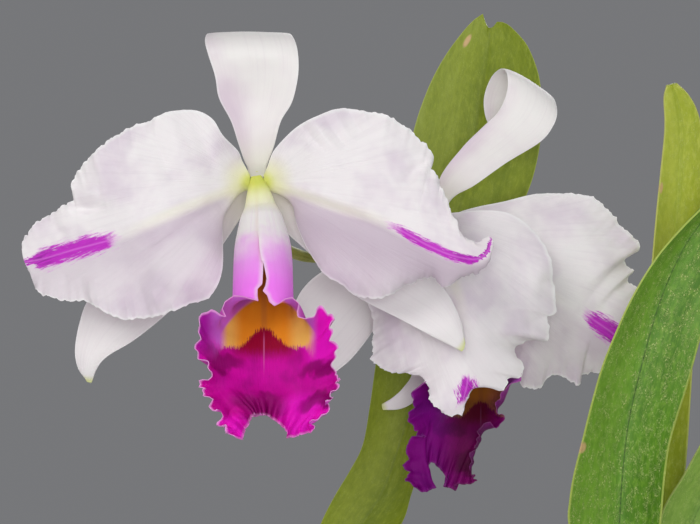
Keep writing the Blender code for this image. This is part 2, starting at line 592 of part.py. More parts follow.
def root_mesh(start, end):
    """A root that leaves the rhizome, arches over and dips into its hole in the bark."""
    (ax, ay), (bx, by) = start, end
    spots = [(ax * MM, ay * MM, RHIZOME_HEIGHT), ((ax * 0.45 + bx * 0.55) * MM,
             (ay * 0.45 + by * 0.55) * MM, RHIZOME_HEIGHT + 0.001),
             ((ax * 0.1 + bx * 0.9) * MM, (ay * 0.1 + by * 0.9) * MM, RHIZOME_HEIGHT - 0.0005),
             (bx * MM, by * MM, BARK_TOP + 0.0005), (bx * MM, by * MM, BARK_TOP - 0.006),
             (bx * MM, by * MM, BARK_TOP - 0.012)]
    points = smooth_line(spots, np.linspace(0, 1, 11))
    return tube_mesh("root", points, [ROOT_RADIUS] * 11, 1)


def make_rhizome(finish):
    main = tube_mesh("rhizome", level_route(RHIZOME_ROUTE, 12), [RHIZOME_RADIUS] * 12, 2)
    rhizome = add_object("rhizome", main, finish)
    branch = tube_mesh("branch", level_route(RHIZOME_BRANCH, 6), [RHIZOME_RADIUS * 0.97] * 6, 2)
    join_meshes(rhizome, [branch] + [root_mesh(start, end) for start, end in ROOT_ENDS])


def pseudobulb_axis(spec, count):
    """Points of a pseudobulb's curved axis, from its foot to its apex."""
    foot = Vector((spec["foot"][0] * MM, spec["foot"][1] * MM, FOOT_HEIGHT))
    apex = Vector(from_photo(spec["apex"]))
    bend = foot.lerp(apex, 0.45) + Vector((-(apex.x - foot.x) * 0.12, -(apex.y - foot.y) * 0.12, 0.004))
    return smooth_line([foot, bend, apex], np.linspace(0, 1, count))


def pseudobulb_rings(spec, sides, count, grow=0.0):
    """Rings of a club-shaped, furrowed pseudobulb."""
    axis = pseudobulb_axis(spec, count)
    t = np.linspace(0, 1, count)
    girth = np.interp(t, [0, 0.08, 0.3, 0.6, 0.8, 0.94, 1], [0.42, 0.5, 0.74, 1.0, 0.9, 0.62, 0.5])
    turn = np.linspace(0, 2 * math.pi, sides, endpoint=False)
    furrow = 1 + 0.05 * np.cos(turn * 7)[None, :] * np.sin(math.pi * t)[:, None]
    radius = spec["girth"] * MM * girth[:, None] * furrow + grow
    flat = np.stack([np.cos(turn), 0.82 * np.sin(turn), np.zeros_like(turn)], axis=-1)
    return axis[:, None, :] + radius[..., None] * flat[None, :, :]


def make_pseudobulb(name, spec, finish):
    add_object(name + "_pseudobulb", ringed_mesh(name, pseudobulb_rings(spec, 14, 11)), finish)


def make_bract(name, spec, finish):
    """Papery bract wrapped around the lower third of a pseudobulb, open down one side."""
    rings = pseudobulb_rings(spec, BRACT_SIDES, BRACT_RINGS, BRACT_STAND_OFF)
    wrap = rings[1:BRACT_RINGS // 3 + 2:3, 0:BRACT_SIDES - 3:3]
    flare = np.linspace(0, 1, wrap.shape[0])[:, None, None] ** 2 * BRACT_FLARE
    centre = wrap.mean(axis=1, keepdims=True)
    add_sheet(name + "_bract", wrap + unit(wrap - centre) * flare, BRACT_THICKNESS, finish)


def make_flower_stalk(finish):
    """Peduncle with its two pedicels, one piece."""
    share = np.linspace(0, 1, 15)
    main = tube_mesh("stalk", smooth_line([from_photo(p) for p in STALK_ROUTE], share),
                     np.interp(share, [0, 1], [STALK_RADIUS * 1.1, STALK_RADIUS]))
    stalk = add_object("flower_stalk", main, finish)
    pedicels = []
    for name, route, count in (("pedicel_a", PEDICEL_A_ROUTE, 12), ("pedicel_b", PEDICEL_B_ROUTE, 9)):
        share = np.linspace(0, 1, count)
        points = smooth_line([from_photo(p) for p in route], share)
        pedicels.append(tube_mesh(name, points, np.interp(share, [0, 0.1, 1], [STALK_RADIUS * 0.98,
                                  PEDICEL_RADIUS, PEDICEL_RADIUS])))
    join_meshes(stalk, pedicels)


def make_sheath(finish):
    """Flattened flower sheath around the foot of the stalk, open down one side."""
    share = np.linspace(0.03, 0.42, 6)
    axis = smooth_line([from_photo(p) for p in STALK_ROUTE], share)
    turn = np.linspace(0.35, 2 * math.pi - 0.35, 10)
    width = np.interp(share, [0.03, 0.15, 0.42], [0.0052, 0.0062, 0.0055])
    ring = np.stack([np.cos(turn), 0.8 * np.sin(turn), 0.3 * np.cos(turn)], axis=-1)
    add_sheet("flower_sheath", axis[:, None, :] + width[:, None, None] * ring[None], BRACT_THICKNESS, finish)


def make_column(name, hub, floor, scale, finish):
    """Receptacle with the column that runs into the lip, and the anther cap at its end."""
    centre = np.array(from_photo(hub))
    station = np.array([0.10, 0.17, 0.25])
    here, _, up = lip_section(floor, station)
    places, radii, _ = zip(*LIP_STATIONS)
    middle = here + up * (np.interp(station, places, radii) * scale)[:, None]
    spots = np.vstack([[0, 0, 0], [0, -4.4 * scale, -1.8], middle]) * MM + centre
    spots = smooth_line(spots, np.linspace(0, 1, 7))
    width = np.array([2.6, 2.3, 2.2, 2.3, 2.5, 2.8, 3.1]) * scale * MM
    column = add_object(name, ball_mesh(name, centre, (HUB_RADIUS,) * 3), finish)
    cap = ball_mesh("anther_cap", spots[-1], (3.4 * scale * MM, 3.0 * scale * MM, 2.6 * scale * MM))
    join_meshes(column, [tube_mesh("column", spots, width), cap])


def make_blades(finish):
    """Petals, sepals, lips and leaves."""
    petals = dict(bloom_a_left_petal=(LEFT_PETAL_A, 0.4), bloom_a_right_petal=(RIGHT_PETAL_A, 1.7),
                  bloom_b_left_petal=(LEFT_PETAL_B, 2.9), bloom_b_right_petal=(RIGHT_PETAL_B, 0.9))
    for name, (outline, phase) in petals.items():
        points = blade_points(outline, *PETAL_GRID, PETAL_CREASE, (PETAL_WAVES, PETAL_WAVE_HEIGHT, phase))
        add_sheet(name, points, PETAL_THICKNESS, finish["petal"])
    sepals = dict(bloom_a_left_sepal=LEFT_SEPAL_A, bloom_a_right_sepal=RIGHT_SEPAL_A,
                  bloom_b_left_sepal=LEFT_SEPAL_B, bloom_b_right_sepal=RIGHT_SEPAL_B)
    for name, outline in sepals.items():
        add_sheet(name, blade_points(outline, *SEPAL_GRID), SEPAL_THICKNESS, finish["sepal"])
    curled = dict(bloom_a_dorsal_sepal=DORSAL_SEPAL_A, bloom_b_dorsal_sepal=DORSAL_SEPAL_B)
    for name, outline in curled.items():
        add_sheet(name, blade_points(outline, *CURLED_SEPAL_GRID), SEPAL_THICKNESS, finish["sepal"])
    leaves = dict(back_leaf=BACK_LEAF, front_leaf=FRONT_LEAF, pale_leaf=PALE_LEAF, low_leaf=LOW_LEAF)
    for name, outline in leaves.items():
        add_sheet(name, blade_points(outline, *LEAF_GRID, LEAF_CREASE), LEAF_THICKNESS, finish[name])


def make_lip(name, hub, floor, scale, phase, finish):
    points = lip_points(hub, floor, scale, len(LIP_ROWS) - 1, LIP_COLUMNS, phase)
    add_sheet(name, points, LIP_THICKNESS, finish)


def make_finishes():
    return dict(
        petal=material("petal_white", (0.86, 0.80, 0.86), 0.55),
        sepal=material("sepal_white", (0.84, 0.80, 0.82), 0.5),
        lip=material("lip_magenta", (0.60, 0.01, 0.38), 0.5),
        column=material("column_yellow", (0.80, 0.80, 0.42), 0.45),
        stalk=material("stalk_olive", (0.42, 0.40, 0.12), 0.5),
        sheath=material("sheath_straw", (0.40, 0.36, 0.16), 0.6),
        bract=material("bract_papery", (0.62, 0.55, 0.40), 0.8),
        pseudobulb=material("pseudobulb_green", (0.24, 0.34, 0.09), 0.45),
        rhizome=material("rhizome_green_brown", (0.28, 0.26, 0.12), 0.7),
        back_leaf=material("leaf_olive", (0.20, 0.27, 0.04), 0.4),
        front_leaf=material("leaf_green", (0.10, 0.25, 0.05), 0.35),
        pale_leaf=material("leaf_pale", (0.38, 0.43, 0.09), 0.4),
        low_leaf=material("leaf_mid_green", (0.18, 0.34, 0.08), 0.4),
        bark=material("bark_brown", (0.16, 0.08, 0.04), 0.9),
        pot=material("pot_clay", (0.52, 0.22, 0.12), 0.8))


def main():
    for item in list(bpy.data.objects):
        bpy.data.objects.remove(item)
    finish = make_finishes()
    make_pot(finish["pot"])
    make_bark(finish["bark"])
    make_rhizome(finish["rhizome"])
    for name, spec in PSEUDOBULBS.items():
        make_pseudobulb(name, spec, finish["pseudobulb"])
        make_bract(name, spec, finish["bract"])
    make_flower_stalk(finish["stalk"])
    make_sheath(finish["sheath"])
    make_column("bloom_a_column", HUB_A, LIP_FLOOR_A, 1.0, finish["column"])
    make_column("bloom_b_column", HUB_B, LIP_FLOOR_B, LIP_SCALE_B, finish["column"])
    make_lip("bloom_a_lip", HUB_A, LIP_FLOOR_A, 1.0, 0.6, finish["lip"])
    make_lip("bloom_b_lip", HUB_B, LIP_FLOOR_B, LIP_SCALE_B, 2.1, finish["lip"])
    make_blades(finish)


main()
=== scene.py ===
import math
import random

import bmesh
import bpy
import numpy as np
from mathutils import Matrix, Vector


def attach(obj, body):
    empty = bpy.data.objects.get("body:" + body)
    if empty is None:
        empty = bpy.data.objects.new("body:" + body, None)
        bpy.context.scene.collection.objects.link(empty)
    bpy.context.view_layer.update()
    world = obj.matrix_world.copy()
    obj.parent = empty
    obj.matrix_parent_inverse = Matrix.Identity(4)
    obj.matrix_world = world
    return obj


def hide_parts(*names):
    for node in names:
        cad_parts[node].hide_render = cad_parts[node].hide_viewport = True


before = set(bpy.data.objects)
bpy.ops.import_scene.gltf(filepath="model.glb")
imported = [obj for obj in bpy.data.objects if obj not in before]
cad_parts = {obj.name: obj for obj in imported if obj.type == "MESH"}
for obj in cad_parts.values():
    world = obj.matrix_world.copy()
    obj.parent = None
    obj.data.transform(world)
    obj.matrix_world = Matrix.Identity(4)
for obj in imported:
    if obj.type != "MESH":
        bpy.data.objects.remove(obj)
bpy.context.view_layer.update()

BODY = "root"
MM = 0.001
DECIMETRES_PER_METRE = 10
MM_PER_DECIMETRE = 100

# The flower's natural spread sets the scale of the photograph in the plane of the near bloom.
FLOWER_SPAN = 0.170
FLOWER_SPAN_PIXELS = 472.0
PIXEL_SIZE = FLOWER_SPAN / FLOWER_SPAN_PIXELS
VIEW_DISTANCE = 1.0
NEAR_BLOOM_DEPTH = -0.060
PHOTO_WIDTH = 700.0
PHOTO_CENTRE = (350.0, 262.0)
PHOTO_CENTRE_X = -0.0324
PHOTO_CENTRE_Z = 0.3716
SENSOR_WIDTH = 36.0
FLOOR_RADIUS = 2.5
LIGHT_AIM = (-0.03, -0.03, 0.36)

# Thickness of the blades
PETAL_THICKNESS = 0.0006
SEPAL_THICKNESS = 0.0008
LIP_THICKNESS = 0.0006
LEAF_THICKNESS = 0.0018
BRACT_THICKNESS = 0.0005

# Rows along a blade and columns across it
PETAL_GRID = (170, 96)
FAR_PETAL_GRID = (146, 82)
SEPAL_GRID = (110, 36)
CURLED_SEPAL_GRID = (150, 36)
LIP_GRID = (264, 170)
FAR_LIP_GRID = (190, 120)
LEAF_GRID = (130, 36)

# How sharply a blade folds along its midrib; a petal's waves, wrinkles, frills and teeth; and the groove
# along a leaf, its width as a share of the half blade. Heights, reaches and depth are in millimetres.
PETAL_CREASE = 0.25
LEAF_CREASE = 0.3
PETAL_WAVES = 5
PETAL_WAVE_HEIGHT = 1.1
PETAL_WRINKLES = 46
PETAL_WRINKLE_HEIGHT = 0.08
PETAL_FRILL_HEIGHT = 0.75
PETAL_TOOTH_HEIGHT = 0.25
PETAL_RAGGED_REACH = 0.55
PETAL_TOOTH_REACH = 0.45
GROOVE_WIDTH = 0.05
GROOVE_DEPTH = 0.35

# Steps between two knots of a smooth line, and along a fold
KNOT_STEPS = 16
FOLD_STEPS = 40

# Pot: its throwing marks are a wave up the wall, in radians
POT_HEIGHT = 0.122
POT_BASE_RADIUS = 0.050
POT_TOP_RADIUS = 0.070
POT_RIM_RADIUS = 0.0745
POT_RIM_HEIGHT = 0.022
POT_WALL = 0.0055
POT_FLOOR = 0.007
POT_STEPS = 144
POT_EDGE = 0.0015
THROWING_WAVE = 61
THROWING_DEPTH = 0.00022
POT_FLOOR_RING = 0.03
DRAIN_RADIUS = 0.0055

# Bark: the chips' reaches from the pot's axis are in millimetres, and chips near the wall are smaller
BARK_TOP = 0.1085
BED_HEIGHT = BARK_TOP - 0.006
SEAT_GAP = 0.0003
CHIP_COUNT = 260
CHIP_SEED = 23
CHIP_REACH = 58
WALL_CHIP_REACH = 50
WALL_CHIP_SIZE = 0.72

# Rhizome, roots, pseudobulbs and their bracts; a pseudobulb's girths are shares of its thickest part
RHIZOME_RADIUS = 0.0048
RHIZOME_HEIGHT = BARK_TOP + SEAT_GAP + RHIZOME_RADIUS
ROOT_RADIUS = 0.0016
FOOT_HEIGHT = RHIZOME_HEIGHT + RHIZOME_RADIUS + 2 * SEAT_GAP
BULB_PLACES = (0, 0.08, 0.3, 0.6, 0.8, 0.94, 1)
BULB_GIRTHS = (0.42, 0.5, 0.74, 1.0, 0.9, 0.62, 0.5)
BULB_JOINTS = (0.22, 0.52)
BULB_FURROWS = 7
BULB_WRINKLES = 19
BULB_FLATNESS = 0.82
BRACT_STAND_OFF = 0.0012
BRACT_FLARE = 0.0012
BRACT_SIDES = 112
BRACT_OPENING = 12
BRACT_RINGS = 121
BRACT_ROWS = slice(4, 45)

# Photograph points of the receptacles, from which the blooms' pieces grow, and of the lips' throats
HUB_A = (257, 183, -60)
HUB_B = (430, 235, -16)
THROAT_A = (264, 345)
THROAT_B = (481, 415)

# Bloom A, the near one, facing the viewer
DORSAL_SEPAL_A = dict(
    left=[(248, 177, -62.5), (247.5, 168, -59), (244, 160, -58), (238, 142, -58), (231, 121, -58),
          (219, 98, -59), (215, 76, -60), (208, 54, -60), (205, 41, -57), (208, 34, -51), (214, 44, -45),
          (225, 62, -42), (240, 78, -41)],
    middle=[(257, 177.5, -63.5), (257, 168, -59), (257, 160, -57.5), (256, 143, -56.5), (256, 121, -56),
            (256, 98, -56.5), (257, 75, -59), (255, 52, -61), (251, 37, -57), (248, 33, -50), (247, 44, -44),
            (247, 62, -41), (246, 80, -40)],
    right=[(266, 177, -62.5), (266.5, 168, -59), (269, 160, -58), (274, 146, -58), (281, 121, -58),
           (292, 102, -59), (298, 76, -60), (298, 54, -60), (294, 39, -57), (288, 34, -51), (280, 44, -45),
           (268, 62, -42), (253, 79, -41)])

LEFT_PETAL_A = dict(
    left=[(250, 175, -63), (243, 162, -62.5), (238, 150, -63), (222, 135, -66), (212, 119, -67),
          (196, 110, -68), (173, 111, -68), (150, 121, -67), (128, 127, -68), (104, 145, -68),
          (84, 162, -67), (71, 184, -66), (75, 198, -66), (54, 211, -65), (33, 226, -63), (23, 241, -61),
          (22, 249, -61)],
    middle=[(250, 182, -63.5), (244, 184, -63), (222, 193, -66), (196, 203, -71), (169, 214, -74),
            (140, 227, -74), (112, 237, -71), (75, 247, -67), (45, 256, -63), (24, 260, -61)],
    right=[(250, 190, -62), (243, 192, -61.5), (234, 199, -62), (223, 216, -64), (224, 243, -68),
           (219, 281, -73), (207, 299, -74), (188, 305, -74), (164, 314, -73), (145, 318, -73),
           (124, 320, -74), (99, 309, -73), (84, 301, -71), (62, 301, -69), (42, 294, -66), (34, 285, -64),
           (29, 271, -62)])

RIGHT_PETAL_A = dict(
    left=[(264, 175, -63), (269, 163, -62.5), (274, 151, -63), (284, 138, -65), (298, 126, -66),
          (316, 117, -67), (340, 108, -67), (366, 111, -67), (388, 117, -67), (410, 129, -67),
          (427, 145, -68), (430, 157, -67), (428, 165, -68), (438, 177, -70), (446, 195, -72),
          (451, 213, -75), (458, 229, -77), (467, 239, -80), (477, 242, -84), (488, 236, -88)],
    middle=[(264, 182, -63.5), (271, 184, -63), (290, 190, -65), (316, 199, -68), (346, 209, -70),
            (375, 218, -72), (400, 229, -74), (425, 243, -77), (445, 252, -79), (462, 257, -81),
            (477, 258, -84), (487, 251, -86), (491, 238, -88)],
    right=[(264, 190, -62), (272, 192, -61.5), (291, 203, -61.5), (298, 222, -62), (306, 249, -63),
           (323, 271, -64), (343, 286, -66), (354, 296, -67), (376, 298, -69), (398, 291, -70),
           (416, 283, -71), (433, 276, -73), (443, 285, -74), (453, 283, -76), (463, 278, -78),
           (472, 276, -80), (481, 272, -82), (488, 261, -84), (494, 242, -87.5)])

LEFT_SEPAL_A = dict(
    left=[(245, 186, -57.5), (222, 194, -56), (190, 212, -54), (150, 238, -52), (112, 268, -51),
          (88, 300, -51), (79, 325, -52), (75, 350, -53), (78, 368, -53), (87, 381, -52)],
    middle=[(248, 190, -57.5), (232, 212, -56.5), (206, 242, -55), (172, 278, -53.5), (138, 308, -53),
            (112, 332, -53), (96, 354, -53.5), (90, 370, -53.5), (89, 382, -52)],
    right=[(251, 194, -57.5), (243, 213, -57), (232, 231, -57), (206, 268, -56.5), (188, 292, -56),
           (164, 316, -56), (134, 340, -56), (109, 355, -55.5), (98, 366, -55), (92, 382, -52)])

RIGHT_SEPAL_A = dict(
    left=[(269, 186, -57.5), (292, 194, -56), (322, 206, -54), (356, 222, -52), (392, 240, -51.5),
          (420, 260, -52), (441, 285, -54), (452, 301, -55), (461, 322, -56), (465, 342, -55)],
    middle=[(266, 190, -57.5), (282, 212, -56.5), (306, 236, -55.5), (338, 258, -54.5), (372, 278, -54),
            (404, 297, -55), (430, 313, -56), (446, 327, -57), (463.5, 349, -55)],
    right=[(263, 194, -57.5), (273, 210, -57), (284, 229, -57), (302, 245, -57), (322, 264, -56.5),
           (342, 283, -56.5), (361, 299, -57), (400, 319, -58), (430, 335, -57.5), (461, 351, -55)])

# Bloom B, behind the near one and leaning to the right
DORSAL_SEPAL_B = dict(
    left=[(431, 223, -15), (439, 180, -17), (462, 148, -18), (484, 126, -19), (499, 111, -20),
          (507, 92, -20), (507, 74, -18), (501, 69, -12), (491, 78, -7), (484, 98, -4), (486, 118, -3),
          (494, 132, -3)],
    middle=[(435, 223, -15), (446, 190, -17), (469, 163, -18), (496, 140, -20), (520, 118, -21),
            (530, 98, -20), (529, 82, -16), (522, 80, -9), (513, 92, -4), (504, 112, -2), (502, 126, -2),
            (500, 138, -2)],
    right=[(439, 226, -15), (452, 199, -17), (475, 185, -18), (506, 163, -19), (540, 142, -20),
           (553, 126, -20), (557, 112, -18), (553, 98, -13), (544, 100, -7), (532, 112, -4), (520, 126, -3),
           (507, 143, -2)])

LEFT_PETAL_B = dict(
    left=[(420, 241, -18), (405, 250, -24), (388, 268, -27), (372, 290, -28), (368, 305, -29),
          (373, 328, -31), (375, 350, -32), (371, 362, -33), (381, 369, -34), (396, 372, -36),
          (412, 374, -39), (426, 383, -42), (430, 398, -44), (440, 411, -46), (452, 417, -46)],
    middle=[(419, 234, -18), (430, 246, -34), (446, 268, -44), (458, 295, -48), (464, 325, -49),
            (466, 355, -49), (464, 382, -48), (460, 402, -47), (457, 414, -46)],
    right=[(420, 227, -18), (430, 216, -27), (451, 213, -33), (480, 211, -35), (508, 213, -35),
           (527, 223, -35), (541, 240, -36), (550, 262, -37), (556, 290, -38), (556, 312, -39),
           (547, 315, -39), (547, 338, -40), (531, 341, -40), (517, 349, -41), (523, 366, -42),
           (521, 377, -42), (509, 377, -43), (500, 390, -44), (479, 385, -45), (467, 401, -46),
           (462, 416, -46)])

RIGHT_PETAL_B = dict(
    left=[(441, 229, -16), (451, 216, -16), (480, 206, -15), (512, 200, -13), (553, 192, -11),
          (587, 197, -10), (610, 210, -11), (628, 232, -12), (638, 245, -12), (630, 252, -12),
          (624, 262, -12), (635, 270, -13), (629, 281, -13), (637, 289, -14), (637, 310, -15),
          (634, 333, -15), (628, 347, -15)],
    middle=[(441, 235, -16), (470, 250, -18), (505, 266, -20), (540, 287, -21), (572, 308, -20),
            (597, 325, -18), (615, 338, -17), (624, 350, -15)],
    right=[(441, 240, -16), (455, 272, -15), (474, 306, -14), (492, 340, -13), (505, 365, -13),
           (521, 384, -13), (540, 388, -14), (551, 377, -14), (565, 377, -14), (579, 385, -15),
           (582, 375, -15), (598, 374, -15), (612, 366, -15), (620, 355, -15)])

LEFT_SEPAL_B = dict(
    left=[(417.5, 237, -14), (400, 243, -17), (377, 251, -20), (350, 259, -23), (323, 271, -26),
          (302, 290, -28), (290, 318, -28), (287, 350, -28), (291, 376, -27), (295, 388, -26)],
    middle=[(419.5, 241, -14), (402, 262, -18), (378, 282, -21), (355, 303, -24), (335, 326, -26),
            (318, 350, -27), (305, 374, -27), (298, 392, -26)],
    right=[(422.5, 245.5, -14), (411, 270, -18), (394, 297, -20), (378, 322, -22), (368, 338, -24),
           (352, 358, -26), (337, 371, -27), (320, 384, -27), (303, 395, -26)])

RIGHT_SEPAL_B = dict(
    left=[(427, 246, -14), (421, 270, -12), (413, 300, -10), (409, 330, -9), (411, 355, -10),
          (412, 374, -11), (403, 388, -12), (392, 398, -12), (382, 404, -12)],
    middle=[(431, 246, -14), (432, 275, -11), (430, 310, -8), (427, 340, -8), (425, 362, -9),
            (417, 382, -11), (404, 397, -12), (393, 404, -12), (382, 406.5, -12)],
    right=[(435, 246, -14), (446, 275, -11), (450, 310, -8), (448, 340, -8), (440, 368, -9), (430, 386, -11),
           (414, 402, -12), (400, 409, -12), (383, 410, -12)])

# Leaves, each as if seen in the photograph
BACK_LEAF = dict(
    left=[(317, 624, 4), (309, 590, 4), (311, 555, 4), (321, 524, 4), (335, 496, 4), (350, 471, 4),
          (363, 445, 5), (370, 407, 6), (375, 371, 7), (384, 310, 9), (396, 240, 11), (405, 180, 13),
          (414, 130, 15), (428, 89, 17), (444, 58, 18), (462, 33, 19), (474, 20, 19), (483, 14, 19)],
    middle=[(321, 625, 3), (328, 590, 1), (343, 555, 0), (361, 524, 0), (381, 494, 0), (396, 455, 1),
            (408, 415, 2), (418, 371, 3), (436, 310, 5), (452, 240, 8), (466, 180, 11), (476, 130, 13),
            (482, 89, 15), (487, 58, 17), (489, 42, 18), (489, 28, 18)],
    right=[(325, 626, 4), (345, 592, 4), (372, 560, 4), (401, 524, 4), (411, 494, 4), (424, 455, 5),
           (438, 415, 6), (454, 371, 7), (476, 310, 9), (504, 240, 11), (526, 196, 13), (536, 165, 15),
           (541, 130, 16), (540, 83, 18), (529, 49, 19), (515, 31, 19), (505, 23, 19), (497, 22, 19)])

FRONT_LEAF = dict(
    left=[(612, 622, -58), (596, 600, -61), (580, 565, -63), (569, 524, -64), (570, 500, -64),
          (574, 475, -64), (582, 443, -63), (592, 403, -62), (603, 365, -61), (618, 328, -60),
          (629, 304, -59), (644, 277, -58), (661, 252, -56), (682, 228, -54), (699, 211, -52),
          (714, 196, -49), (727, 180, -46)],
    middle=[(617, 623, -57), (618, 595, -53), (619, 560, -51), (619, 524, -50), (622, 475, -50),
            (629, 417, -50), (644, 354, -50), (655, 315, -49), (667, 281, -48), (684, 246, -46),
            (700, 222, -45), (716, 200, -44), (731, 183, -44)],
    right=[(622, 622, -58), (640, 600, -60), (655, 560, -61), (661, 516, -62), (664, 481, -62),
           (669, 446, -61), (677, 417, -60), (687, 386, -59), (700, 339, -57), (711, 300, -54),
           (722, 262, -51), (731, 228, -48), (737, 202, -46), (736, 185, -45)])

PALE_LEAF = dict(
    left=[(645, 600, -22), (640, 560, -23), (640, 480, -24), (643, 400, -24), (647, 330, -23),
          (652, 267, -22), (655, 232, -21), (658, 200, -20), (661, 171, -19), (665, 128, -18),
          (664, 98, -18), (667, 86, -18)],
    middle=[(650, 601, -21), (656, 560, -19), (662, 480, -18), (666, 400, -18), (669, 330, -17),
            (673, 267, -16), (677, 220, -15), (680, 171, -15), (681, 128, -15), (677, 102, -16),
            (671, 84, -17)],
    right=[(655, 600, -22), (674, 560, -23), (684, 480, -24), (690, 400, -24), (694, 330, -23),
           (698, 267, -22), (701, 210, -21), (703, 165, -19), (701, 128, -18), (696, 108, -18),
           (687, 93, -18), (677, 84, -18)])

LOW_LEAF = dict(
    left=[(667, 638, -45), (658, 600, -46), (656, 560, -46), (660, 524, -45), (666, 504, -44),
          (684, 475, -43), (700, 446, -41), (720, 415, -38), (742, 388, -35), (760, 368, -32),
          (773, 353, -30)],
    middle=[(672, 640, -44), (676, 600, -40), (682, 560, -38), (690, 530, -37), (702, 500, -36),
            (720, 468, -34), (740, 440, -32), (758, 412, -30), (770, 388, -29), (780, 353, -29)],
    right=[(677, 639, -45), (694, 604, -45), (708, 570, -45), (722, 540, -44), (738, 508, -42),
           (756, 476, -39), (772, 446, -37), (784, 416, -35), (790, 390, -33), (790, 368, -31),
           (786, 353, -30)])

# Pseudobulbs: the foot on the rhizome (x, y) in millimetres, and the apex as a photograph point
PSEUDOBULBS = dict(
    back=dict(foot=(-30, 8), apex=(321, 627.3, 6), girth=11.0),
    front=dict(foot=(20, -24), apex=(617, 624.4, -56), girth=11.5),
    pale=dict(foot=(38, 8), apex=(650, 602.4, -20), girth=10.5),
    low=dict(foot=(46, -19), apex=(672, 641.4, -43), girth=10.0))
RHIZOME_ROUTE = [(-48, 17), (-30, 8), (-5, -9), (20, -24), (34, -25), (46, -19), (52, -13)]
RHIZOME_BRANCH = [(20, -24), (30, -9), (38, 8), (40, 14)]
ROOT_ENDS = [((-38, 12), (-44, -4)), ((-20, 1), (-24, -18)), ((-2, -11), (6, -36)), ((-10, -5), (-2, 14)),
             ((28, -25), (30, -44)), ((34, 0), (20, 14))]

# Flower stalk, as photograph points with a depth
STALK_ROUTE = [(324, 623.2, 9.8), (338, 580, 13), (360, 524, 14), (380, 470, 15), (389, 420, 16),
               (391, 375, 17), (388, 340, 18), (380, 312, 18), (371, 293, 14), (366, 280, 8)]
PEDICEL_A_ROUTE = [(366, 280, 8), (356, 270, 0), (339, 262, -9), (320, 258, -19), (299, 255, -30),
                   (277, 243, -42), (262, 214, -50), (257.5, 190.2, -56.1)]
PEDICEL_B_ROUTE = [(366, 280, 8), (374, 268, 2), (388, 258, -3), (408, 250, -6), (420, 243, -9),
                   (427, 239.3, -11.7)]
STALK_RADIUS = 0.0026


def pixel_size(depth):
    """Size of the photograph's pixels at a depth, both in metres."""
    return PIXEL_SIZE * (VIEW_DISTANCE + depth - NEAR_BLOOM_DEPTH) / VIEW_DISTANCE


def from_photo(point):
    """World place of a photograph point (x, y in pixels, depth in millimetres)."""
    x, y, depth = point
    size = pixel_size(depth * MM)
    return (PHOTO_CENTRE_X + (x - PHOTO_CENTRE[0]) * size, depth * MM,
            PHOTO_CENTRE_Z + (PHOTO_CENTRE[1] - y) * size)


def to_photo(points):
    """Photograph places, in pixels, of an array of world points."""
    size = pixel_size(points[..., 1])
    x = PHOTO_CENTRE[0] + (points[..., 0] - PHOTO_CENTRE_X) / size
    y = PHOTO_CENTRE[1] - (points[..., 2] - PHOTO_CENTRE_Z) / size
    return np.stack([x, y], axis=-1)


def lengths(points):
    """Distance of each point from the first, along the line through them all."""
    steps = np.linalg.norm(np.diff(points, axis=0), axis=1)
    return np.concatenate([[0], np.cumsum(steps)])


def smooth_line(points, fractions):
    """Points at the given fractions of the length of a smooth line through the given points."""
    knots = np.array(points, dtype=float)
    ends = np.vstack([2 * knots[0] - knots[1], knots, 2 * knots[-1] - knots[-2]])
    t = np.linspace(0, 1, KNOT_STEPS, endpoint=False)[:, None]
    pieces = []
    for a, b, c, d in zip(ends, ends[1:], ends[2:], ends[3:]):
        pieces.append(0.5 * (2 * b + (c - a) * t + (2 * a - 5 * b + 4 * c - d) * t ** 2
                             + (3 * b - a - 3 * c + d) * t ** 3))
    fine = np.vstack(pieces + [knots[-1:]])
    length = lengths(fine)
    at = np.asarray(fractions) * length[-1]
    return np.stack([np.interp(at, length, fine[:, axis]) for axis in range(knots.shape[1])], axis=-1)


def photo_line(points, fractions):
    """Smooth line through photograph points, as world points."""
    return smooth_line([from_photo(point) for point in points], fractions)


def full_turn(count):
    """Angles of a count of points around a circle."""
    return np.linspace(0, 2 * math.pi, count, endpoint=False)


def spread(down, across):
    """Two coordinates of each point of a grid, from those of its rows and columns."""
    return np.stack([np.repeat(down[:, None], len(across), axis=1),
                     np.repeat(across[None, :], len(down), axis=0)], axis=-1)


def unit(vectors):
    return vectors / np.maximum(np.linalg.norm(vectors, axis=-1, keepdims=True), 1e-12)


def ease(value, low, high):
    """Smooth change from 0 to 1 as the value goes from low to high."""
    t = np.clip((value - low) / (high - low), 0, 1)
    return t * t * (3 - 2 * t)


def grid_normals(points):
    """Unit normals of a grid of points."""
    along = np.gradient(points, axis=0)
    across = np.gradient(points, axis=1)
    return unit(np.cross(across, along))


def blade_points(outline, rows, columns, crease=0.0):
    """Grid of a blade between its margins."""
    u = np.linspace(0, 1, rows + 1)
    v = np.linspace(0, 1, columns + 1)[None, :, None]
    left, middle, right = (photo_line(outline[side], u)[:, None, :]
                           for side in ("left", "middle", "right"))
    arched = left * (1 - v) * (1 - 2 * v) + middle * 4 * v * (1 - v) + right * v * (2 * v - 1)
    folded = np.where(v < 0.5, left + (middle - left) * 2 * v, middle + (right - middle) * (2 * v - 1))
    return arched * (1 - crease) + folded * crease


def blade_places(points):
    """Distance along the midrib and signed distance from it, both in metres."""
    middle = points[:, points.shape[1] // 2]
    gaps = np.linalg.norm(points - middle[:, None, :], axis=-1)
    side = np.linspace(-1, 1, points.shape[1])[None, :]
    return np.repeat(lengths(middle)[:, None], points.shape[1], axis=1), gaps * np.sign(side)


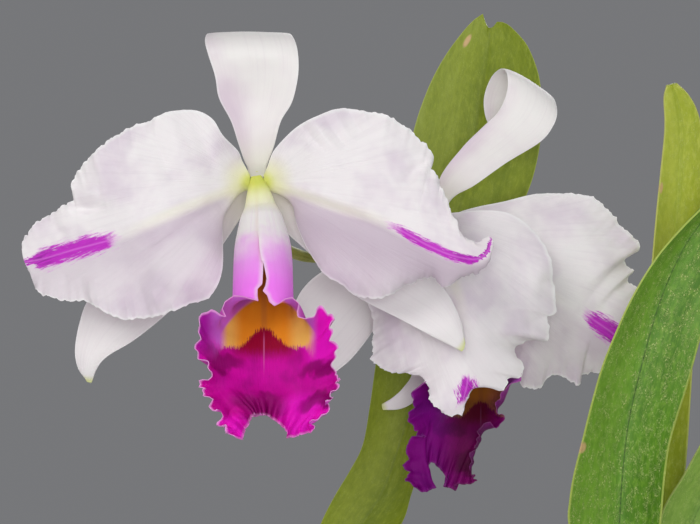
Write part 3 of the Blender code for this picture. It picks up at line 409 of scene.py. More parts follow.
def fan_places(points):
    """Angle about the claw, against the way from the claw to the tip, and distance from it."""
    middle = points[:, points.shape[1] // 2]
    claw = middle[0]
    ahead = unit(middle[len(middle) // 2] - claw)
    normal = unit(grid_normals(points).reshape(-1, 3).mean(axis=0))
    aside = unit(np.cross(normal, ahead))
    away = points - claw
    return (np.arctan2((away * aside).sum(axis=-1), (away * ahead).sum(axis=-1)),
            np.linalg.norm(away, axis=-1))


def surface_maps(points):
    """Surface coordinates of a blade: blade (0 to 1), rib (decimetres) and fan (radians, decimetres)."""
    rows, columns = points.shape[:2]
    turn, reach = fan_places(points)
    return dict(blade=spread(np.linspace(0, 1, rows), np.linspace(0, 1, columns)),
                rib=np.stack(blade_places(points), axis=-1) * DECIMETRES_PER_METRE,
                fan=np.stack([turn, reach * DECIMETRES_PER_METRE], axis=-1))


def scallops(u, count, seed):
    """Rounded teeth of uneven width and height with sharp notches, and the phase they follow."""
    draw = random.Random(seed)
    a, b, c = (draw.uniform(0, 2 * math.pi) for _ in range(3))
    phase = count * u + 0.45 * np.sin(2 * math.pi * 3.1 * u + a) + 0.3 * np.sin(2 * math.pi * 7.7 * u + b)
    height = 0.6 + 0.4 * np.sin(2 * math.pi * 5.3 * u + c)
    return np.abs(np.sin(math.pi * phase)) ** 0.5 * height, phase


def fold_lift(spots, folds):
    """Sum of the folds at the photograph places: each is (line of pixels, lift in mm, width in pixels)."""
    total = np.zeros(spots.shape[:-1])
    for line, lift, width in folds:
        path = smooth_line(line, np.linspace(0, 1, FOLD_STEPS))
        gaps = np.linalg.norm(spots[..., None, :] - path, axis=-1)
        nearest = gaps.argmin(axis=-1)
        fade = np.sin(math.pi * np.clip(nearest / (FOLD_STEPS - 1), 0.02, 0.98)) ** 0.5
        total += lift * MM * fade * np.exp(-(gaps.min(axis=-1) / width) ** 2)
    return total


def thin_mesh(name, points, thickness, maps, taper=8):
    """Closed thin body of a grid of points, thinner at its margins, with its coordinates as UV maps."""
    rows, columns = points.shape[:2]
    side = np.linspace(-1, 1, columns)[None, :, None]
    half = thickness / 2 * (0.35 + 0.65 * (1 - np.abs(side) ** taper))
    offset = grid_normals(points) * half
    places = np.concatenate([(points + offset).reshape(-1, 3), (points - offset).reshape(-1, 3)])
    index = np.arange(rows * columns).reshape(rows, columns)
    a, b, c, d = index[:-1, :-1], index[:-1, 1:], index[1:, 1:], index[1:, :-1]
    front = np.stack([a, b, c, d], axis=-1).reshape(-1, 4)
    loop = np.concatenate([index[0, :-1], index[:-1, -1], index[-1, :0:-1], index[:0:-1, 0]])
    after = np.roll(loop, -1)
    shift = rows * columns
    rim = np.stack([after, loop, loop + shift, after + shift], axis=-1)
    faces = np.concatenate([front, front[:, ::-1] + shift, rim])
    mesh = bpy.data.meshes.new(name)
    mesh.from_pydata(places, [], faces)
    corners = np.empty(len(mesh.loops), dtype=np.int32)
    mesh.loops.foreach_get("vertex_index", corners)
    for title, pairs in maps.items():
        both = pairs if isinstance(pairs, tuple) else (pairs, pairs)
        values = np.concatenate([side.reshape(-1, 2) for side in both])[corners]
        mesh.uv_layers.new(name=title).data.foreach_set("uv", values.astype(np.float32).ravel())
    return mesh


def to_mesh(form, name):
    """The mesh of a form, which is freed."""
    mesh = bpy.data.meshes.new(name)
    form.to_mesh(mesh)
    form.free()
    return mesh


def add(name, data):
    """A new object in the scene."""
    item = bpy.data.objects.new(name, data)
    bpy.context.scene.collection.objects.link(item)
    return item


def show(name, mesh, finish, slot, *nodes, sharp=60):
    """Show a mesh as a piece that rides on the plant, in place of the named nodes."""
    item = add(name, mesh)
    mesh.materials.clear()
    mesh.materials.append(finish)
    mesh.shade_smooth()
    mesh.set_sharp_from_angle(angle=math.radians(sharp))
    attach(item, BODY)
    if nodes:
        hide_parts(*nodes)
    return item


def uneven(u, count, seed):
    """Sum of waves of many lengths along a margin, within about -1 to 1."""
    draw = random.Random(seed)
    total = np.zeros_like(u)
    for times, share in ((0.31, 0.45), (0.62, 0.35), (1.0, 0.45), (1.7, 0.35), (2.6, 0.2)):
        start = draw.uniform(0, 2 * math.pi)
        total = total + share * np.sin(2 * math.pi * count * times * u + start + 2 * np.sin(9 * u + start))
    return total / 1.2


def petal_points(outline, grid, phase, seed, teeth, folds):
    """Petal with the part's broad waves, and finer teeth, frills, wrinkles and folds."""
    rows, columns = grid
    points = blade_points(outline, rows, columns, PETAL_CREASE)
    u = np.linspace(0, 1, rows + 1)[:, None]
    side = np.linspace(-1, 1, columns + 1)[None, :]
    outward = unit(points[:, [0, -1]] - points[:, [columns // 2]])
    outward = np.where(side[..., None] < 0, outward[:, :1], outward[:, 1:])
    grown = ease(u, 0.20, 0.60) * ease(1 - u, 0.0, 0.04)
    lift = PETAL_WAVE_HEIGHT * MM * np.sin(2 * math.pi * PETAL_WAVES * u + phase + 1.3 * np.sign(side))
    lift = lift * np.abs(side) ** 2 * np.sin(math.pi * u) ** 0.5
    for half, number in ((side < 0, 0), (side >= 0, 1)):
        wave = uneven(u, teeth * 0.42, seed + number)
        tooth = scallops(u, teeth, seed + number)[0] - 0.6
        frill = (PETAL_FRILL_HEIGHT * wave * np.abs(side) ** 5
                 + PETAL_TOOTH_HEIGHT * tooth * np.abs(side) ** 9)
        lift = lift + np.where(half, frill * MM * grown, 0)
        ragged = uneven(u, teeth * 0.8, seed + number + 7)
        reach = (PETAL_RAGGED_REACH * ragged + PETAL_TOOTH_REACH * tooth) * MM * grown
        points = points + outward * np.where(half, reach * np.abs(side) ** 12, 0)[..., None]
    turn, distance = fan_places(points)
    wrinkle = np.sin(turn * PETAL_WRINKLES + 2.5 * np.sin(turn * 9 + seed) + 8 * distance / 0.1)
    wrinkle = PETAL_WRINKLE_HEIGHT * MM * wrinkle * ease(distance, 0.015, 0.06)
    lift = lift + wrinkle * (0.25 + 0.75 * np.abs(side))
    points = points + grid_normals(points) * lift[..., None]
    points[..., 1] -= fold_lift(to_photo(points), folds)
    return points


# Lips. The floor's midline from the neck on the receptacle, as (x, y, z) in millimetres, and the lip's
# shape at stations along it: place, radius in millimetres and half angle of the section. The neck comes
# before station 0.
LIP_NECK = 0.07
LIP_FLOOR_A = [(-0.2, -2.4, 2.3), (0.3, -2.4, -1), (0.8, -2.5, -4.2), (1.5, -3, -10), (2, -4.3, -16),
               (2.4, -6.3, -23), (2.6, -9.1, -30), (2.7, -12.6, -38), (2.8, -17, -46), (2.8, -21, -52),
               (2.8, -26, -60), (3, -31, -69), (3, -36, -81), (3, -37.9, -93)]
LIP_FLOOR_B = [(-0.6, -3.0, 1.6), (-0.3, -2.4, -1.5), (0, -1.8, -4.6), (1, -1.5, -10), (5, -3, -22),
               (10, -5, -36), (13, -7, -44), (14.5, -9, -50), (14, -12, -58), (11, -16, -67), (6, -20, -79),
               (2, -23, -91)]
LIP_SCALE_B = 0.80
LIP_STATIONS = [(-0.07, 1.5, 3.24), (-0.055, 2.1, 3.24), (-0.035, 3.0, 3.24), (0.00, 4.1, 3.24),
                (0.05, 5.3, 3.24), (0.10, 7.1, 3.24), (0.15, 8.3, 3.24), (0.20, 9.2, 3.24),
                (0.25, 9.8, 3.23), (0.30, 10.1, 3.20), (0.34, 10.2, 3.16), (0.40, 10.3, 3.10),
                (0.46, 10.4, 3.04), (0.50, 10.5, 3.00), (0.515, 10.6, 2.92), (0.53, 11.0, 2.70),
                (0.545, 11.8, 2.42), (0.56, 13.0, 2.20), (0.58, 15.0, 2.02), (0.60, 16.5, 1.86),
                (0.63, 20.0, 1.50), (0.67, 24.5, 1.14), (0.72, 28.0, 0.95), (0.80, 33.0, 0.80),
                (0.90, 35.0, 0.66), (1.00, 35.0, 0.48)]
LIP_ROWS = [-0.07, -0.03, 0.03, 0.10, 0.19, 0.28, 0.35, 0.41, 0.46, 0.495, 0.52, 0.54, 0.56, 0.58, 0.60,
            0.62, 0.65, 0.69, 0.73, 0.775, 0.82, 0.865, 0.91, 0.955, 1]
LIP_OVERLAP = 0.035

# Waves along a lip's whole side and along half of the front lobe's end, broad and fine; the pleats' wave,
# in radians across half the lobe; and the teeth along a side and along the end. Heights and reach are in
# millimetres.
LIP_SIDE_WAVES = (11, 31)
LIP_SIDE_HEIGHTS = (1.3, 0.8)
LIP_END_WAVES = (2.4, 7.3)
LIP_END_HEIGHTS = (1.1, 0.7)
LIP_PLEAT_WAVE = 17
LIP_PLEAT_HEIGHT = 0.09
LIP_SIDE_TEETH = 58
LIP_END_TEETH = 20
LIP_TOOTH_REACH = 2.1

# Where the lips' margins lie in the photograph: (station, x, y) down both sides, and (place across
# from -1 to 1, x, y) along the end.
LIP_EDGE_A = dict(
    left=[(0.35, 263.5, 262), (0.40, 262.8, 275), (0.44, 262.3, 284), (0.465, 257.5, 289),
          (0.49, 257.5, 296), (0.51, 258.4, 301), (0.525, 251.4, 299), (0.54, 242.6, 296),
          (0.555, 233.9, 295.4), (0.57, 225, 301.6), (0.58, 222.5, 308.6), (0.595, 226, 316.5),
          (0.615, 218, 312), (0.63, 211, 309.5), (0.65, 202.3, 315.6), (0.67, 198.8, 324.4),
          (0.69, 197, 331.4), (0.715, 194.4, 343.7), (0.73, 197, 349), (0.75, 202.3, 356),
          (0.775, 205.8, 364.7), (0.80, 208, 376), (0.815, 199.6, 383.2), (0.83, 205.8, 387.5),
          (0.845, 203.2, 392.8), (0.86, 209, 399), (0.875, 206.7, 406.8), (0.89, 212, 413),
          (0.905, 221.6, 415.6), (0.915, 222, 421), (0.925, 214.6, 421.5), (0.94, 214.6, 425.3),
          (0.96, 223.3, 427.9), (0.975, 225, 432.3), (1.0, 235.6, 438.4)],
    right=[(0.35, 263.5, 263), (0.37, 264.6, 268), (0.40, 266.7, 278.8), (0.44, 265.4, 285.8),
           (0.465, 262.8, 291), (0.49, 267.2, 295.4), (0.51, 269, 301.6), (0.52, 274.2, 306),
           (0.53, 277.7, 304.2), (0.54, 284.7, 299), (0.555, 291.8, 297.2), (0.57, 298.8, 303.3),
           (0.58, 297, 312), (0.59, 298, 316.5), (0.60, 305, 318.5), (0.615, 312.8, 315.6),
           (0.625, 316.3, 308.6), (0.635, 320.7, 306), (0.65, 326.8, 313.9), (0.67, 333.9, 319),
           (0.69, 333, 328), (0.71, 333, 338.4), (0.73, 334.7, 345.4), (0.76, 333.9, 356),
           (0.79, 336.5, 368.2), (0.81, 339.1, 374.4), (0.83, 334.7, 377.9), (0.85, 338.2, 385.8),
           (0.87, 333, 392.8), (0.885, 334.7, 398), (0.905, 325.5, 400), (0.93, 327.7, 410.3),
           (0.95, 319.8, 415.6), (0.97, 312.8, 420.9), (1.0, 313.7, 429.6)],
    end=[(-1, 235.6, 438.4), (-0.93, 243.5, 440.2), (-0.85, 244.4, 434.9), (-0.75, 247, 426),
         (-0.6, 251.4, 418), (-0.4, 256, 415.5), (-0.15, 260.2, 416), (0.05, 267.2, 415),
         (0.25, 274.2, 420.9), (0.4, 281.2, 424.4), (0.5, 287, 431.4), (0.58, 285.6, 439.3),
         (0.68, 295.3, 437.5), (0.78, 302.3, 433.2), (0.9, 309, 434), (1, 313.7, 429.6)])
LIP_EDGE_B = dict(
    left=[(0.58, 421, 385.5), (0.62, 413, 391.6), (0.66, 412, 403), (0.70, 409, 414), (0.73, 410, 421),
          (0.76, 414, 429.4), (0.785, 417, 435.5), (0.80, 427, 434.5), (0.815, 421, 438.6),
          (0.825, 411, 439.6), (0.84, 404.9, 444.7), (0.87, 404.9, 454.9), (0.89, 411, 462),
          (0.905, 401, 466), (0.925, 410, 471.2), (0.94, 405, 477), (0.96, 405, 481), (0.98, 412, 484.5),
          (1.0, 417, 488.6)],
    right=[(0.54, 522, 370), (0.57, 521, 381), (0.595, 511, 384), (0.62, 500.8, 391.6), (0.66, 497.2, 402.9),
           (0.68, 497.2, 410), (0.70, 503.4, 414), (0.73, 497.8, 426.8), (0.75, 490.6, 423.3),
           (0.77, 481.4, 428.4), (0.80, 477.3, 434.5), (0.83, 476.3, 440.6), (0.86, 479.4, 448.8),
           (0.88, 470.2, 452.9), (0.90, 469.2, 460), (0.93, 471.2, 469), (0.955, 476.8, 474.3),
           (0.975, 473.3, 477.3), (1.0, 476.3, 481.4)],
    end=[(-1, 417, 488.6), (-0.85, 427.3, 492), (-0.7, 434.5, 489), (-0.62, 429.4, 483.5),
         (-0.5, 426.3, 475.3), (-0.4, 427.3, 466), (-0.25, 431.4, 462), (-0.1, 437.5, 466),
         (0.05, 443.7, 472), (0.15, 444.7, 480.4), (0.25, 443.2, 486.5), (0.4, 449, 488), (0.5, 456, 491),
         (0.58, 455, 485), (0.8, 466, 484.5), (1, 476.3, 481.4)])


def lip_section(floor, station):
    """Floor point, side and upward directions of the lip at each station."""
    share = (station + LIP_NECK) / (1 + LIP_NECK)
    here = smooth_line(floor, share)
    ahead = smooth_line(floor, np.clip(share + 0.01, 0, 1))
    behind = smooth_line(floor, np.clip(share - 0.01, 0, 1))
    along = unit(ahead - behind)
    side = unit(np.stack([-along[..., 2], np.zeros_like(station), along[..., 0]], axis=-1))
    return here, side, np.cross(along, side)


def soften(values, width):
    """Values smoothed along their first axis by a bell of the given width in steps."""
    reach = int(3 * width)
    bell = np.exp(-np.linspace(-3, 3, 2 * reach + 1) ** 2 / 2)
    padded = np.pad(values, ((reach, reach), (0, 0)), mode="edge")
    return np.stack([np.convolve(padded[:, k], bell / bell.sum(), mode="valid")
                     for k in range(values.shape[1])], axis=-1)


def edge_shift(points, keys, targets):
    """Broad and fine shift, in metres, that brings a margin's points to their places in the photograph."""
    places, x, y = zip(*targets)
    aim = np.stack([np.interp(keys, places, x), np.interp(keys, places, y)], axis=-1)
    gap = (aim - to_photo(points)) * pixel_size(points[:, 1])[:, None]
    gap = gap * ease(keys, places[0] - 0.03, places[0])[:, None]
    shift = np.stack([gap[:, 0], np.zeros(len(gap)), -gap[:, 1]], axis=-1)
    broad = soften(shift, len(keys) / 60)
    return broad, shift - broad


def lip_keys(rows):
    """Station of each of a lip's rows of points."""
    return np.interp(np.linspace(0, 1, rows), np.linspace(0, 1, len(LIP_ROWS)), LIP_ROWS)


def lip_points(hub, floor, scale, edge, seed, grid):
    """Grid of a lip: a tube of two lapped side lobes that opens into a notched, frilled front lobe."""
    rows, columns = grid
    across = np.linspace(-1, 1, columns + 1)
    keys = lip_keys(rows + 1)
    station = np.repeat(keys[:, None], columns + 1, axis=1)
    places, radii, angles = zip(*LIP_STATIONS)
    radius = np.interp(station, places, radii) * scale * (1 + LIP_OVERLAP * across)
    angle = np.interp(station, places, angles) * across
    here, side, up = lip_section(floor, station)
    rise = radius * (1 - np.cos(angle))
    points = here + side * (radius * np.sin(angle))[..., None] + up * rise[..., None]
    points = np.array(from_photo(hub)) + points * MM
    front = ease(keys, 0.56, 0.70)[:, None]
    near_side = np.abs(across)[None, :]
    near_end = ease(keys, 0.62, 1.0)[:, None]
    left_broad, left_fine = edge_shift(points[:, 0], keys, edge["left"])
    right_broad, right_fine = edge_shift(points[:, -1], keys, edge["right"])
    end_broad, end_fine = edge_shift(points[-1], across, edge["end"])
    reach = near_side ** 2.2 * front + near_side ** 5 * (1 - front)
    for half, broad, fine in ((across < 0, left_broad, left_fine), (across >= 0, right_broad, right_fine)):
        weight = np.where(half, reach, 0)
        sharp = np.where(half, near_side ** 14, 0)
        points = points + weight[..., None] * broad[:, None] + sharp[..., None] * fine[:, None]
        corner = weight[-1][:, None] * broad[-1] + sharp[-1][:, None] * fine[-1]
        points = points - near_end[..., None] ** 2 * corner[None]
    points = (points + near_end[..., None] ** 2 * end_broad[None]
              + near_end[..., None] ** 14 * end_fine[None])
    points = points + lip_teeth(points, keys, across, seed) * scale
    lift = lip_frill(keys, across, near_side, near_end, front, seed)
    return points + grid_normals(points) * (lift * scale * MM)[..., None]


def lip_frill(keys, across, near_side, near_end, front, seed):
    """Lift, in millimetres, of the front lobe's frilled margins and shallow pleats."""
    wave = 2 * math.pi * keys[:, None]
    (broad, fine), (high, low) = LIP_SIDE_WAVES, LIP_SIDE_HEIGHTS
    frill = (high * np.sin(broad * wave + seed) * near_side ** 3
             + low * np.sin(fine * wave + 3 * seed + 2 * np.sign(across)) * near_side ** 9) * front
    turn = 2 * math.pi * across[None, :]
    (broad, fine), (high, low) = LIP_END_WAVES, LIP_END_HEIGHTS
    frill = frill + (high * np.sin(broad * turn + seed) * near_end ** 3
                     + low * np.sin(fine * turn) * near_end ** 9)
    bent = LIP_PLEAT_WAVE * across[None, :] + 1.5 * np.sin(5 * across[None, :] + seed)
    pleat = LIP_PLEAT_HEIGHT * np.sin(bent) * front
    return frill + pleat * (0.3 + 0.7 * near_end)


def lip_teeth(points, keys, across, seed):
    """Shift of the front lobe's margins into small uneven teeth."""
    down = ease(keys, 0.60, 0.68)[:, None] * (0.55 + 0.45 * np.sin(keys * 47 + seed))[:, None]
    total = np.zeros_like(points)
    for column, inner, number in ((0, 6, 1), (-1, -7, 2)):
        outward = unit(points[:, column] - points[:, inner])
        tooth = scallops(keys, LIP_SIDE_TEETH, seed + number)[0] - 0.5
        near = np.where(np.sign(across) == (1 if column else -1), np.abs(across) ** 18, 0)
        weight = near[None, :] * down
        total = total + (tooth[:, None] * outward)[:, None, :] * weight[..., None] * LIP_TOOTH_REACH * MM
    outward = unit(points[-1] - points[-7])
    tooth = scallops((across + 1) / 2, LIP_END_TEETH, seed + 3)[0] - 0.5
    tooth = (tooth * ease(np.abs(across), 0.1, 0.5))[None, :, None]
    return total + tooth * outward[None] * (ease(keys, 0.9, 1) ** 3)[:, None, None] * MM


def lip_maps(points, centre, scale):
    """Surface coordinates of a lip: blade (station, across), rib (decimetres), skin (1 inside, 0 outside)
    and front (hundreds of pixels right of and above the throat's centre, in the photograph)."""
    rows, columns = points.shape[:2]
    blade = spread(lip_keys(rows), np.linspace(0, 1, columns))
    station = blade[..., 0]
    steps = np.linalg.norm(np.diff(points, axis=1), axis=-1)
    girth = np.concatenate([np.zeros((rows, 1)), np.cumsum(steps, axis=1)], axis=1)
    girth = girth - girth[:, [(columns - 1) // 2]]
    inner = np.stack([np.ones_like(station), station], axis=-1)
    outer = np.stack([np.zeros_like(station), station], axis=-1)
    front = (to_photo(points) - np.array(centre)) * np.array([0.01, -0.01]) / scale
    rib = np.stack([blade_places(points)[0], girth], axis=-1) * DECIMETRES_PER_METRE
    return dict(blade=blade, rib=rib, skin=(outer, inner), front=front)


def make_lip(name, hub, floor, scale, edge, throat, seed, grid, finish):
    points = lip_points(hub, floor, scale, edge, seed, grid)
    mesh = thin_mesh(name, points, LIP_THICKNESS, lip_maps(points, throat, scale))
    return show(name + "_surface", mesh, finish, "lip_magenta", name)


def make_petals():
    for name, (outline, grid, phase, seed, teeth, folds, flame, painted_shade) in PETALS.items():
        points = petal_points(outline, grid, phase, seed, teeth, folds)
        mesh = thin_mesh(name, points, PETAL_THICKNESS, surface_maps(points))
        show(name + "_surface", mesh, petal_finish(name + "_tissue", seed, flame, painted_shade),
             "petal_white", name)


def make_sepals():
    for name, (outline, grid, finish) in SEPALS.items():
        points = blade_points(outline, *grid)
        mesh = thin_mesh(name, points, SEPAL_THICKNESS, surface_maps(points), 12)
        show(name + "_surface", mesh, finish(name + "_tissue"), "sepal_white", name)


def make_leaves():
    for name, (outline, slot, colours, *details) in LEAVES.items():
        points = blade_points(outline, *LEAF_GRID, LEAF_CREASE)
        across = np.linspace(-1, 1, points.shape[1])[None, :]
        groove = np.exp(-(across / GROOVE_WIDTH) ** 2) * GROOVE_DEPTH * MM
        points = points + grid_normals(points) * groove[..., None]
        mesh = thin_mesh(name, points, LEAF_THICKNESS, surface_maps(points), 5)
        show(name + "_surface", mesh, leaf_finish(name + "_skin", colours, *details), slot, name)


def tube(name, points, radii, sides=24, ribs=0, rib_depth=0.0):
    """Closed tube along points, with an optional ribbed section, its coordinates as a UV map."""
    points = np.asarray(points)
    radii = np.asarray(radii)
    along = unit(np.gradient(points, axis=0))
    side = unit(np.cross(along, np.array([0.31, 0.22, 0.93]) if abs(along[0][2]) < 0.9
                         else np.array([0.0, 1.0, 0.0])))
    up = np.cross(side, along)
    turn = full_turn(sides)
    reach = radii[:, None] * (1 + rib_depth * np.cos(ribs * turn)[None, :])
    rings = (points[:, None, :] + reach[..., None] * (side[:, None, :] * np.cos(turn)[None, :, None]
             + up[:, None, :] * np.sin(turn)[None, :, None]))
    return ring_mesh(name, rings)


def ring_mesh(name, rings):
    """Closed body of rings of points with flat ends, and its coordinates as a UV map."""
    sides = rings.shape[1]
    length = lengths(rings.mean(axis=1))
    form = bmesh.new()
    coordinates = form.loops.layers.uv.new("stem")
    verts = [[form.verts.new(point) for point in ring] for ring in rings]
    for low, high, start, end in zip(verts, verts[1:], length, length[1:]):
        for i in range(sides):
            j = (i + 1) % sides
            face = form.faces.new((low[i], low[j], high[j], high[i]))
            for loop, pair in zip(face.loops, ((i, start), (i + 1, start), (i + 1, end), (i, end))):
                loop[coordinates].uv = (pair[0] / sides, pair[1] * DECIMETRES_PER_METRE)
    form.faces.new(reversed(verts[0]))
    form.faces.new(verts[-1])
    return to_mesh(form, name)


def merge(name, meshes):
    """One mesh of several."""
    form = bmesh.new()
    for mesh in meshes:
        form.from_mesh(mesh)
        bpy.data.meshes.remove(mesh)
    return to_mesh(form, name)


def pot_inner_radius(height):
    """Radius of the pot's inner wall at a height."""
    share = (height - POT_FLOOR) / (POT_HEIGHT - POT_FLOOR)
    return POT_BASE_RADIUS + (POT_TOP_RADIUS - POT_BASE_RADIUS) * share - POT_WALL


def pot_profile():
    """Half section of the pot as (radius, height): floor, inner wall, rim, outer wall and foot."""
    rim_low = POT_HEIGHT - POT_RIM_HEIGHT
    floor = [(DRAIN_RADIUS, POT_FLOOR), (POT_FLOOR_RING, POT_FLOOR),
             (pot_inner_radius(POT_FLOOR) - 0.002, POT_FLOOR),
             (pot_inner_radius(POT_FLOOR), POT_FLOOR + 0.002)]
    inside = [(pot_inner_radius(h), h) for h in np.linspace(POT_FLOOR + 0.004, POT_HEIGHT - 0.004, 14)]
    corner = [(pot_inner_radius(POT_HEIGHT) + POT_EDGE * (1 - math.cos(a)) * 0.9,
               POT_HEIGHT - POT_EDGE + POT_EDGE * math.sin(a)) for a in np.linspace(0.1, math.pi / 2, 6)]
    shoulder = [(POT_RIM_RADIUS - POT_EDGE + POT_EDGE * math.sin(a),
                 POT_HEIGHT - POT_EDGE + POT_EDGE * math.cos(a)) for a in np.linspace(0, math.pi / 2, 7)]
    rim = [(POT_RIM_RADIUS - 0.0012 * s, POT_HEIGHT - POT_EDGE + (rim_low + 2 * POT_EDGE - POT_HEIGHT) * s)
           for s in np.linspace(0.15, 1, 8)]
    under = [(POT_RIM_RADIUS - 0.0017, rim_low + 0.0006), (POT_RIM_RADIUS - 0.003, rim_low),
             (POT_TOP_RADIUS - 0.0036, rim_low)]
    walls = [(POT_BASE_RADIUS + POT_EDGE + (POT_TOP_RADIUS - 0.004 - POT_BASE_RADIUS - POT_EDGE) * s
              + THROWING_DEPTH * math.sin(s * THROWING_WAVE) * math.sin(s * math.pi),
              POT_EDGE + (rim_low - POT_EDGE) * s) for s in np.linspace(1, 0, 40)]
    foot = [(POT_BASE_RADIUS + 0.0008, 0.0005), (POT_BASE_RADIUS - 0.0004, 0), (POT_FLOOR_RING, 0),
            (DRAIN_RADIUS, 0), (DRAIN_RADIUS, POT_FLOOR)]
    return floor + inside + corner + shoulder + rim + under + walls + foot


def make_pot():
    """Turned clay pot with a rounded rim, faint throwing rings and one drain hole in the middle."""
    spots = np.array(pot_profile())
    turn = full_turn(POT_STEPS)
    rings = np.stack([spots[:, :1] * np.cos(turn), spots[:, :1] * np.sin(turn),
                      np.repeat(spots[:, 1:], POT_STEPS, axis=1)], axis=-1)
    index = np.arange(len(spots) * POT_STEPS).reshape(-1, POT_STEPS)
    index[-1] = index[0]
    after = np.roll(index, -1, axis=1)
    faces = np.stack([index[:-1], after[:-1], after[1:], index[1:]], axis=-1).reshape(-1, 4)
    mesh = bpy.data.meshes.new("pot")
    mesh.from_pydata(rings.reshape(-1, 3), [], faces)
    mesh.validate()
    return mesh


def make_chip(draw, x, y, height, size):
    """One bark chip: a slab with broken edges, lying at a random slant, with its own pair of numbers."""
    half = Vector((draw.uniform(4.2, 8.5), draw.uniform(3.0, 5.5), draw.uniform(1.3, 2.8))) * size * MM
    form = bmesh.new()
    bmesh.ops.create_cube(form, size=2)
    bmesh.ops.subdivide_edges(form, edges=form.edges, cuts=4, use_grid_fill=True)
    waves = [(Vector([draw.uniform(-3.5, 3.5) for _ in range(3)]), draw.uniform(0, 6.3)) for _ in range(5)]
    pinch = draw.uniform(0.55, 1.0)
    for vert in form.verts:
        round_off = 1 - 0.16 * max(0.0, vert.co.length - 1.25)
        rough = sum(math.sin(vert.co.dot(way) + start) for way, start in waves) / 5
        ledge = 0.10 * math.copysign(1, math.sin(vert.co.y * 7 + waves[0][1]))
        spot = vert.co * round_off * (1 + 0.16 * rough)
        spot.y *= pinch + (1 - pinch) * (0.5 - 0.5 * spot.x)
        spot.z *= 1 + ledge
        vert.co = Vector(c * h for c, h in zip(spot, half))
    turn = Matrix.Rotation(draw.uniform(0, 2 * math.pi), 4, "Z")
    slant = Matrix.Rotation(draw.uniform(-0.5, 0.5), 4, "X")
    slant = slant @ Matrix.Rotation(draw.uniform(-0.4, 0.4), 4, "Y")
    bmesh.ops.transform(form, matrix=Matrix.Translation((x, y, height)) @ turn @ slant, verts=form.verts)
    mark = (draw.random(), draw.random())
    chip_map = form.loops.layers.uv.new("chip")
    for face in form.faces:
        for loop in face.loops:
            loop[chip_map].uv = mark
    return to_mesh(form, "chip")


def clearance(x, y, route):
    """Distance in mm from a point to a route over the bark."""
    nearest = 1e9
    for (ax, ay), (bx, by) in zip(route, route[1:]):
        run = Vector((bx - ax, by - ay))
        share = max(0, min(1, Vector((x - ax, y - ay)).dot(run) / run.length_squared))
        nearest = min(nearest, (Vector((ax, ay)) + run * share - Vector((x, y))).length)
    return nearest


def make_bark(finish):
    """Loose chips over a packed bed; they stay low under the rhizome and its roots."""
    draw = random.Random(CHIP_SEED)
    form = bmesh.new()
    bmesh.ops.create_circle(form, cap_ends=True, segments=72, radius=pot_inner_radius(BED_HEIGHT) - 0.0012,
                            matrix=Matrix.Translation((0, 0, BED_HEIGHT)))
    form.loops.layers.uv.new("chip")
    chips = [to_mesh(form, "bed")]
    while len(chips) <= CHIP_COUNT:
        turn = draw.uniform(0, 2 * math.pi)
        reach = CHIP_REACH * math.sqrt(draw.uniform(0, 1))
        x, y = reach * math.cos(turn), reach * math.sin(turn)
        near = min(min(clearance(x, y, route) for route in (RHIZOME_ROUTE, RHIZOME_BRANCH)),
                   min(clearance(x, y, route) for route in ROOT_ENDS) + 2)
        sunk = 0.0045 - 0.0037 * ease(near, 7, 15)
        chips.append(make_chip(draw, x * MM, y * MM, BARK_TOP - sunk + draw.uniform(-1.2, 0.4) * MM,
                               1.0 if reach < WALL_CHIP_REACH else WALL_CHIP_SIZE))
    mesh = merge("potting_bark", chips)
    show("potting_bark_chips", mesh, finish, "bark_brown", "potting_bark", sharp=38)


def level_route(route, count):
    """Points of a smooth line at the rhizome's height through (x, y) points in millimetres."""
    spots = [(x * MM, y * MM, RHIZOME_HEIGHT) for x, y in route]
    return smooth_line(spots, np.linspace(0, 1, count))


def root_mesh(start, end, seed):
    """A root that leaves the rhizome, arches over and dips into its hole in the bark."""
    (ax, ay), (bx, by) = start, end
    spots = [(ax * MM, ay * MM, RHIZOME_HEIGHT), ((ax * 0.45 + bx * 0.55) * MM,
             (ay * 0.45 + by * 0.55) * MM, RHIZOME_HEIGHT + 0.001),
             ((ax * 0.1 + bx * 0.9) * MM, (ay * 0.1 + by * 0.9) * MM, RHIZOME_HEIGHT - 0.0005),
             (bx * MM, by * MM, BARK_TOP + 0.0005), (bx * MM, by * MM, BARK_TOP - 0.006),
             (bx * MM, by * MM, BARK_TOP - 0.012)]
    share = np.linspace(0, 1, 46)
    points = smooth_line(spots, share)
    sway = 0.35 * MM * np.sin(share * 19 + seed) * np.sin(math.pi * share)
    points[:, 0] += sway
    points[:, 1] -= sway
    return tube("root", points, ROOT_RADIUS * (1 + 0.09 * np.sin(share * 31 + seed)), 16)


def stem_mesh(name, route, count, thick, rings):
    """A stretch of rhizome with a ridge at each old scale."""
    share = np.linspace(0, 1, count)
    radii = thick * (1 + 0.09 * np.exp(-((share * rings) % 1 - 0.5) ** 2 / 0.004)
                     + 0.03 * np.sin(share * 23))
    radii = radii * (0.55 + 0.45 * np.sqrt(np.clip(np.minimum(share, 1 - share) / 0.035, 0, 1)))
    return tube(name, level_route(route, count), radii, 28)


def make_rhizome(finish):
    parts = [stem_mesh("stem", RHIZOME_ROUTE, 170, RHIZOME_RADIUS, 15),
             stem_mesh("branch", RHIZOME_BRANCH, 70, RHIZOME_RADIUS * 0.97, 6)]
    parts += [root_mesh(start, end, seed) for seed, (start, end) in enumerate(ROOT_ENDS)]
    show("rhizome_stem", merge("rhizome_stem", parts), finish, "rhizome_green_brown", "rhizome")


